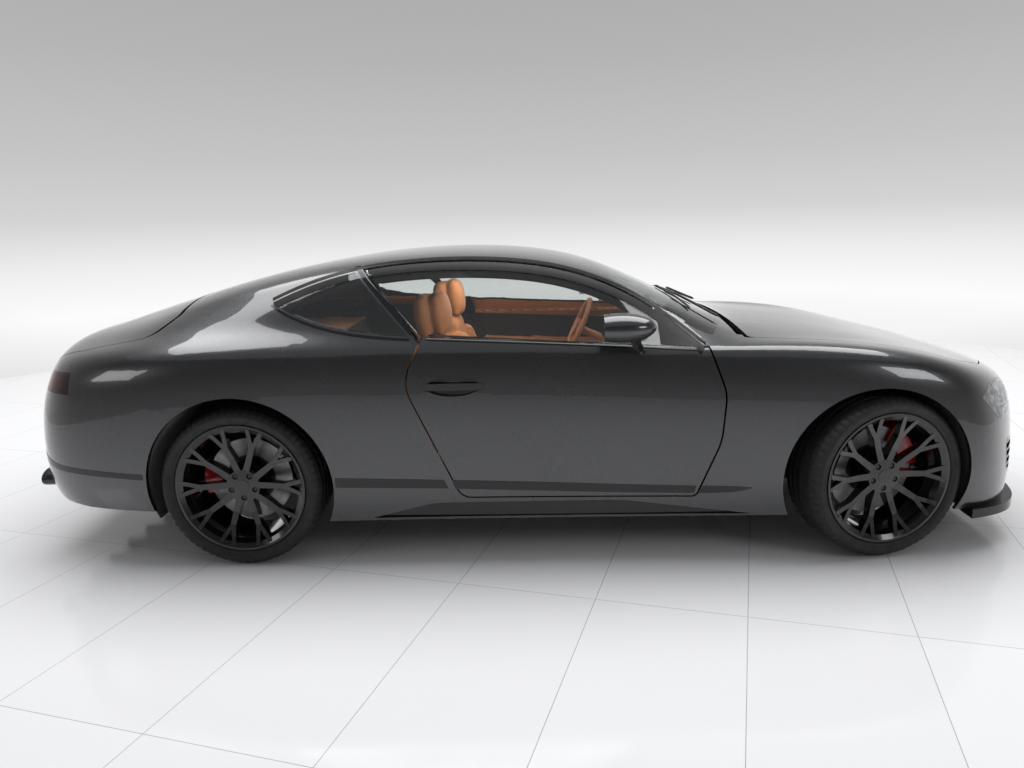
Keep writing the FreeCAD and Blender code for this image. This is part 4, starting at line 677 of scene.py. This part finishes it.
def crowned_block(low, high, axis, puff, pull=0.16):
    """Closed block between two corners, crowned along one axis, whose sides pull in."""
    made = bmesh.new()
    bmesh.ops.create_cube(made, size=2.0)
    bmesh.ops.subdivide_edges(made, edges=made.edges[:], cuts=BLOCK_CUTS, use_grid_fill=True)
    middle = (Vector(low) + Vector(high)) / 2
    half = (Vector(high) - Vector(low)) / 2
    for vertex in made.verts:
        u = vertex.co.copy()
        for k in range(3):
            others = u.dot(u) - u[k] * u[k]
            vertex.co[k] = middle[k] + half[k] * u[k] * math.sqrt(max(0.0, 1 - pull * others))
        across = [u[k] for k in range(3) if k != axis]
        vertex.co[axis] += half[axis] * u[axis] * puff * (1 - across[0] ** 2) * (1 - across[1] ** 2)
    return made


def pad_mesh(name, blocks, place):
    """One mesh of several crowned blocks, each given as (low, high, axis, puff, pull)."""
    whole = bmesh.new()
    for block in blocks:
        part = bpy.data.meshes.new("part")
        made = crowned_block(*block)
        made.to_mesh(part)
        made.free()
        whole.from_mesh(part)
        bpy.data.meshes.remove(part)
    bmesh.ops.transform(whole, matrix=place, verts=whole.verts)
    mesh = bpy.data.meshes.new(name)
    whole.to_mesh(mesh)
    whole.free()
    return mesh


def settled(piece):
    """Mesh of the piece with its modifiers worked in."""
    graph = bpy.context.evaluated_depsgraph_get()
    return bpy.data.meshes.new_from_object(piece.evaluated_get(graph))


def soften(piece, voxel, cap):
    """Turn the blocks into one skin and let cloth swell it, no point moving further than the cap."""
    remesh = piece.modifiers.new("remesh", "REMESH")
    remesh.mode = "VOXEL"
    remesh.voxel_size = voxel
    skin = settled(piece)
    piece.modifiers.clear()
    piece.data = skin
    cloth = piece.modifiers.new("cloth", "CLOTH")
    cloth.settings.use_pressure = True
    cloth.settings.uniform_pressure_force = PRESSURE
    cloth.settings.effector_weights.gravity = 0.0
    cloth.settings.quality = 4
    cloth.settings.mass = 0.3
    cloth.point_cache.frame_start = 1
    cloth.point_cache.frame_end = CLOTH_FRAMES
    for number in range(1, CLOTH_FRAMES + 1):
        scene.frame_set(number)
    swollen = settled(piece)
    piece.modifiers.clear()
    scene.frame_set(1)
    for before, after in zip(skin.vertices, swollen.vertices):
        move = after.co - before.co
        before.co += move * min(1.0, cap / max(move.length, 1e-9))
    finer = piece.modifiers.new("finer", "SUBSURF")
    finer.levels = 1
    finer.render_levels = 1
    smooth = settled(piece)
    piece.modifiers.clear()
    piece.data = smooth


def sew(mesh, place, face, along, low, high, reach):
    """Press sewn channels into the face that looks along one of the pad's own axes."""
    back = place.inverted()
    facing = back.to_3x3()
    for vertex in mesh.vertices:
        spot = back @ vertex.co
        if (facing @ vertex.normal)[face] < 0.25:
            continue
        if abs(spot.y) > reach or not low < spot[along] < high:
            continue
        fade = min(1.0, (reach - abs(spot.y)) / 0.02, (spot[along] - low) / 0.03,
                   (high - spot[along]) / 0.03)
        press = sum(math.exp(-((spot.y - line) / CHANNEL_WIDTH) ** 2) for line in CHANNELS)
        vertex.co -= vertex.normal * CHANNEL_DEPTH * press * max(0.0, fade)


def leaned(x, z, degrees):
    return Matrix.Translation((x, 0, z)) @ Matrix.Rotation(math.radians(-degrees), 4, "Y")


# Pads by name: place, voxel size, furthest swelling, blocks, and the sewn face as
# (axis it looks along, axis the channels follow, their two ends, half width)
SEAT_PADS = {
    "seat_cushion": (leaned(0.0, 0.0, 0.0), 0.009, 0.012, [
        ((-0.300, -0.232, 0.296), (0.160, 0.232, 0.405), 2, 0.04),
        ((-0.275, -0.150, 0.350), (0.150, 0.150, 0.462), 2, 0.12),
        ((-0.275, 0.140, 0.325), (0.150, 0.238, 0.484), 2, 0.10),
        ((-0.275, -0.238, 0.325), (0.150, -0.140, 0.484), 2, 0.10),
        ((0.080, -0.215, 0.335), (0.180, 0.215, 0.486), 0, 0.10)], (2, 0, -0.20, 0.11, 0.150)),
    "seat_back": (leaned(-0.338, 0.455, 14.5), 0.009, 0.012, [
        ((-0.088, -0.222, -0.060), (-0.010, 0.222, 0.535), 0, 0.25),
        ((-0.050, -0.150, -0.020), (0.048, 0.150, 0.520), 0, 0.10),
        ((-0.060, 0.132, 0.000), (0.086, 0.236, 0.455), 0, 0.12),
        ((-0.060, -0.236, 0.000), (0.086, -0.132, 0.455), 0, 0.12),
        ((-0.068, -0.188, 0.430), (0.050, 0.188, 0.548), 2, 0.10)], (0, 2, 0.04, 0.44, 0.140)),
    "headrest": (leaned(-0.468, 1.074, 7.0), 0.006, 0.006, [
        ((0.000, -0.132, -0.104), (0.080, 0.132, 0.106), 0, 0.20, 0.22),
        ((-0.082, -0.126, -0.110), (0.008, 0.126, 0.104), 0, 0.15, 0.22)], None),
}
REAR_PADS = {
    "rear_cushion": (leaned(0.0, 0.0, 0.0), 0.009, 0.010, [
        ((-0.862, -0.196, 0.356), (-0.645, 0.196, 0.462), 2, 0.10),
        ((-0.725, -0.192, 0.352), (-0.640, 0.192, 0.484), 0, 0.10)], (2, 0, -0.82, -0.70, 0.140)),
    "rear_back": (leaned(-0.925, 0.500, 12.0), 0.009, 0.010, [
        ((-0.030, -0.194, -0.020), (0.036, 0.194, 0.335), 0, 0.15),
        ((-0.030, 0.138, 0.000), (0.052, 0.198, 0.310), 0, 0.12),
        ((-0.030, -0.198, 0.000), (0.052, -0.138, 0.310), 0, 0.12)], (0, 2, 0.04, 0.28, 0.140)),
}
FRONT_SEAT_Y = 0.380
REAR_SEAT_Y = 0.330


def make_pads(pads, seat_y, node):
    """One set of pads, swelled once and set on both sides of the cabin."""
    for label, (place, voxel, cap, blocks, sewn_face) in pads.items():
        master = add_object(label + "_right", pad_mesh(label, blocks, place), TAN, "shell")
        soften(master, voxel, cap)
        mesh = master.data
        if sewn_face:
            sew(mesh, place, *sewn_face)
        other = mesh.copy()
        mesh.transform(Matrix.Translation((0, -seat_y, 0)))
        other.transform(Matrix.Translation((0, seat_y, 0)))
        for sheet in (mesh, other):
            sheet.materials.clear()
            sheet.materials.append(TAN)
            for polygon in sheet.polygons:
                polygon.use_smooth = True
        twin = add_object(label + "_left", other, None, "shell")
        for piece in (master, twin):
            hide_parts(node)


make_pads(SEAT_PADS, FRONT_SEAT_Y, "front_seats")
make_pads(REAR_PADS, REAR_SEAT_Y, "rear_seats")


# Cabin trim: door cards, quarter panels and roof lining
TRIM_TOP = [(-1.152, 1.186), (-0.925, 1.068), (-0.455, 1.033), (0.200, 1.000), (0.780, 0.963)]
TRIM_GAP = 0.014            # below the window's foot
CARD_FOOT, QUARTER_FOOT = 0.40, 0.50
CARD_SPAN = (-0.380, 0.700, 0.32)           # back end, front end, slope of the back edge
QUARTER_SPAN = (-1.000, -0.520, 0.0)
SHEET_COLUMNS, SHEET_ROWS = 60, 24
ROOF_BACK, ROOF_LENGTH, ROOF_WIDTH, ROOF_GAP = -0.98, 1.30, 1.0, 0.010
ROOF_ROWS, ROOF_COLUMNS = 40, 31


def bump_at(value, middle, width):
    return math.exp(-((value - middle) / width) ** 2)


def ramp(value):
    return min(1.0, max(0.0, value))


def foot_height(x):
    """Height of the window's foot at a distance along the car."""
    for (x0, z0), (x1, z1) in zip(TRIM_TOP, TRIM_TOP[1:]):
        if x <= x1:
            return z0 + (z1 - z0) * (x - x0) / (x1 - x0)
    return TRIM_TOP[-1][1]


def inner_sheet(name, tree, sign, span, rise, shape, material, body, foot):
    """Lining that follows the inside of the body, raised inwards by the given shape."""
    grid = []
    for i in range(SHEET_ROWS):
        v = rise[0] + (rise[1] - rise[0]) * i / (SHEET_ROWS - 1)
        row = []
        for j in range(SHEET_COLUMNS):
            u = j / (SHEET_COLUMNS - 1)
            level = foot + (1.0 - foot) * v
            back = span[0] + span[2] * (1.0 - level)
            x = back + (span[1] - back) * u
            z = foot + (foot_height(x) - TRIM_GAP - foot) * v
            hit, _, _, _ = tree.ray_cast(Vector((x, 0.0, z)), Vector((0, sign, 0)))
            if hit:
                y = hit.y - sign * shape(u, v)
            elif row:
                y = row[-1].y
            else:
                y = grid[-1][j].y if grid else sign * 0.82
            row.append(Vector((x, y, z)))
        grid.append(row)
    thicken(add_object(name, grid_mesh(name, grid), material, body), 0.003)


def card_shape(u, v):
    """How far the door's lining stands inwards: top roll, armrest and map pocket."""
    edge = min(1.0, u / 0.08, (1 - u) / 0.08)
    rest = bump_at(v, 0.50, 0.055) * ramp((u - 0.10) / 0.12) * ramp((0.86 - u) / 0.2)
    pocket = bump_at(v, 0.10, 0.09) * ramp((u - 0.3) / 0.1) * ramp((0.92 - u) / 0.1)
    return 0.004 + edge * (0.016 * bump_at(v, 0.94, 0.05) + 0.046 * rest + 0.022 * pocket)


def quarter_shape(u, v):
    return 0.004 + 0.03 * bump_at(v, 0.45, 0.08)


def roll_shape(u, v):
    return 0.004 + 0.012 * bump_at(v, 0.96, 0.04)


def roof_lining():
    """Cloth sheet just under the roof panel, where rays straight up meet it."""
    tree = tree_of(["roof_panel"])
    grid = []
    for i in range(ROOF_ROWS):
        x = ROOF_BACK + ROOF_LENGTH * i / (ROOF_ROWS - 1)
        row = []
        for j in range(ROOF_COLUMNS):
            y = ROOF_WIDTH * (j / (ROOF_COLUMNS - 1) - 0.5)
            row.append(tree.ray_cast(Vector((x, y, 0.9)), Vector((0, 0, 1)))[0])
        if all(row):
            grid.append([Vector((p.x, p.y, p.z - ROOF_GAP)) for p in row])
    thicken(add_object("roof_lining", grid_mesh("roof_lining", grid), HEADLINING, "shell"), 0.004)


for side, sign in SIDES.items():
    inside = tree_of(["door_" + side])
    for label, rise, material in (("low", (0.0, 0.60), TAN), ("middle", (0.60, 0.86), DARK_LEATHER),
                                  ("top", (0.86, 1.0), TAN)):
        inner_sheet("door_card_" + label + "_" + side, inside, sign, CARD_SPAN, rise, card_shape,
                    material, "door_" + side, CARD_FOOT)
    inside = tree_of(["body_side_" + side])
    inner_sheet("quarter_card_" + side, inside, sign, QUARTER_SPAN, (0.0, 0.90), quarter_shape,
                DARK_LEATHER, "shell", QUARTER_FOOT)
    inner_sheet("quarter_roll_" + side, inside, sign, QUARTER_SPAN, (0.90, 1.0), roll_shape, TAN,
                "shell", QUARTER_FOOT)
roof_lining()


# Wipers at the foot of the windscreen: pivot, heel and tip of each, seen from above
WIPERS = {"right": ((0.925, -0.50), (0.780, -0.52), (0.700, 0.06)),
          "left": ((0.930, 0.16), (0.830, 0.02), (0.745, 0.58))}
BLADE_STEPS, ARM_STEPS = 24, 16
ELBOW = 11                  # step of the blade that the arm holds
BLADE_LIFT, ARM_LIFT = 0.010, 0.024
BLADE_RADIUS, ARM_RADIUS = 0.0055, 0.0065
TUBE_SIDES = 10


def tube(name, points, radius, material, body):
    """Closed round tube along a line of points."""
    rows = []
    last = len(points) - 1
    for index, point in enumerate(points):
        ahead = (points[min(index + 1, last)] - points[max(index - 1, 0)]).normalized()
        across = ahead.cross(Vector((0, 0, 1))).normalized()
        up = across.cross(ahead)
        slim = radius * (0.35 if index in (0, last) else 1.0)
        rows.append([point + across * slim * math.cos(a) + up * slim * math.sin(a)
                     for a in circle(TUBE_SIDES)])
    mesh = grid_mesh(name, rows, close_columns=True)
    made = bmesh.new()
    made.from_mesh(mesh)
    bmesh.ops.holes_fill(made, edges=made.edges[:])
    bmesh.ops.recalc_face_normals(made, faces=made.faces[:])
    made.to_mesh(mesh)
    made.free()
    add_object(name, mesh, material, body)


def on_screen(tree, start, end, steps, lift):
    """Points straight above the windscreen and scuttle, from one place seen from above to another."""
    found = []
    for step in range(steps + 1):
        x = start[0] + (end[0] - start[0]) * step / steps
        y = start[1] + (end[1] - start[1]) * step / steps
        hit = tree.ray_cast(Vector((x, y, 1.6)), Vector((0, 0, -1)))[0]
        if hit:
            found.append(Vector((x, y, hit.z + lift)))
    return found


screen = tree_of(["windscreen", "scuttle_tray", "scuttle_wall"])
for side, (pivot, heel, tip) in WIPERS.items():
    blade = on_screen(screen, heel, tip, BLADE_STEPS, BLADE_LIFT)
    arm = on_screen(screen, pivot, blade[ELBOW].xy, ARM_STEPS, ARM_LIFT)
    tube("wiper_blade_" + side, blade, BLADE_RADIUS, BLACK_MATTE, "shell")
    tube("wiper_arm_" + side, arm, ARM_RADIUS, BLACK_MATTE, "shell")


# Studio: pale tiled floor that curves up into a glowing wall, and soft lights
FLOOR_RADIUS = 6.0
BEND_RADIUS = 3.6
BEND_STEPS = 12
FLOOR_DROP = 0.0005
WALL_GLOW_BY_HEIGHT = [(0.0, 0.90), (0.055, 1.0), (0.12, 0.88), (0.20, 0.66), (0.31, 0.56), (0.50, 0.46),
              (0.80, 0.38), (1.0, 0.36)]         # share of 8 m above the floor, brightness


def emission_wall_material():
    """Wall that glows as a studio light, with painted light in its glow: brightest near the floor, fading
    to grey above, and dimmer on the camera's side.
    """
    made = Maker("wall")
    split = made.node("ShaderNodeSeparateXYZ")
    made.link(made.place(), split.inputs[0])
    glow_by_height = made.node("ShaderNodeValToRGB")
    made.link(made.span(split.outputs[2], 0.0, 8.0, 0.0, 1.0), glow_by_height.inputs[0])
    elements = glow_by_height.color_ramp.elements
    for element, (position, level) in zip(elements, (WALL_GLOW_BY_HEIGHT[0], WALL_GLOW_BY_HEIGHT[-1])):
        element.position = position
        element.color = (level, level, level, 1)
    for position, level in WALL_GLOW_BY_HEIGHT[1:-1]:
        elements.new(position).color = (level, level, level, 1)
    # Painted shade: the wall's glow is dimmer on the side towards the camera
    glow_dimmed_toward_camera = made.span(split.outputs[1], -3.0, 5.0, 0.26, 1.0)
    shaded = made.node("ShaderNodeMix", data_type="RGBA", blend_type="MULTIPLY")
    shaded.inputs[0].default_value = 1.0
    made.link(glow_by_height.outputs[0], shaded.inputs[6])
    made.link(glow_dimmed_toward_camera, shaded.inputs[7])
    made.link(shaded.outputs[2], made.shader.inputs["Emission Color"])
    made.set(Emission_Strength=0.92, Base_Color=(0.04, 0.04, 0.04, 1), Roughness=0.9)
    return made.material


def tile_material():
    """Pale polished tiles with thin seams, laid at an angle to the car."""
    made = Maker("tiles")
    turned = made.node("ShaderNodeVectorRotate", rotation_type="Z_AXIS")
    turned.inputs["Angle"].default_value = math.radians(15.0)
    made.link(made.place(), turned.inputs["Vector"])
    brick = made.node("ShaderNodeTexBrick", offset=0.0, offset_frequency=2, squash=1.0)
    made.link(turned.outputs[0], brick.inputs["Vector"])
    brick.inputs["Scale"].default_value = 1.0
    brick.inputs["Brick Width"].default_value = 0.60
    brick.inputs["Row Height"].default_value = 1.20
    brick.inputs["Mortar Size"].default_value = 0.0016
    brick.inputs["Mortar Smooth"].default_value = 0.3
    brick.inputs["Color1"].default_value = (0.90, 0.90, 0.91, 1)
    brick.inputs["Color2"].default_value = (0.88, 0.88, 0.89, 1)
    brick.inputs["Mortar"].default_value = (0.42, 0.42, 0.43, 1)
    made.link(brick.outputs["Color"], made.shader.inputs["Base Color"])
    made.rough(made.noise(2.0, 4.0), 0.07, 0.12)
    made.set(Specular_IOR_Level=0.55)
    return made.material


def studio():
    """Round floor whose rim bends up into a wall, made as rings about the car."""
    profile = [(radius, 0.0) for radius in (2.0, 4.0, FLOOR_RADIUS)]
    for step in range(1, BEND_STEPS + 1):
        a = math.radians(90 / BEND_STEPS * step)
        profile.append((FLOOR_RADIUS + BEND_RADIUS * math.sin(a), BEND_RADIUS - BEND_RADIUS * math.cos(a)))
    profile += [(FLOOR_RADIUS + BEND_RADIUS, height) for height in (5.0, 7.0, 9.0)]
    made = bmesh.new()
    count = 96
    rings = [[made.verts.new((radius * math.cos(a), radius * math.sin(a), height)) for a in circle(count)]
             for radius, height in profile]
    middle = made.verts.new((0, 0, 0))
    for step in range(count):
        made.faces.new((middle, rings[0][step], rings[0][(step + 1) % count]))
    for low, high in zip(rings, rings[1:]):
        for step in range(count):
            after = (step + 1) % count
            made.faces.new((low[step], high[step], high[after], low[after]))
    for face in made.faces:
        face.smooth = True
        face.material_index = 0 if face.calc_center_median().xy.length < FLOOR_RADIUS + 0.4 else 1
    mesh = bpy.data.meshes.new("studio_floor")
    made.to_mesh(mesh)
    made.free()
    mesh.materials.append(tile_material())
    mesh.materials.append(emission_wall_material())
    floor = bpy.data.objects.new("studio_floor", mesh)
    scene.collection.objects.link(floor)
    floor.location.z = -FLOOR_DROP


def area_light(name, place, target, size, power, color=(1, 1, 1)):
    data = bpy.data.lights.new(name, "AREA")
    data.shape = "RECTANGLE"
    data.size, data.size_y = size
    data.energy = power
    data.color = color
    light = bpy.data.objects.new(name, data)
    light.location = place
    light.rotation_euler = (Vector(target) - Vector(place)).to_track_quat("-Z", "Y").to_euler()
    scene.collection.objects.link(light)
    return light


studio()
area_light("top_soft", (0.0, 1.2, 6.4), (0, 0.6, 0), (11.0, 5.0), 640)
# The glass keeps the studio's lights out of the cabin, so it has soft ones of its own
CABIN_LIGHTS = {"roof": ((-0.25, 0.0, 1.26), 4.0), "right": ((-0.05, -0.66, 1.16), 1.6),
                "left": ((-0.05, 0.66, 1.16), 1.6)}
for label, (place, power) in CABIN_LIGHTS.items():
    cabin = area_light("cabin_" + label, place, (-0.35, 0.0, 0.75), (0.7, 0.3), power, (1.0, 0.97, 0.93))
    cabin.visible_camera = False
    cabin.visible_glossy = False
    cabin.visible_transmission = False
area_light("front_soft", (5.6, -4.8, 3.4), (0.8, 0, 0.5), (2.2, 1.6), 50)
area_light("rear_soft", (-6.4, -3.6, 3.2), (-1.0, 0, 0.5), (1.8, 1.4), 22)
world = bpy.data.worlds.new("studio_air")
world.use_nodes = True
world.node_tree.nodes["Background"].inputs["Color"].default_value = (0.86, 0.88, 0.92, 1)
world.node_tree.nodes["Background"].inputs["Strength"].default_value = 0.40
scene.world = world
scene.view_settings.view_transform = "Standard"
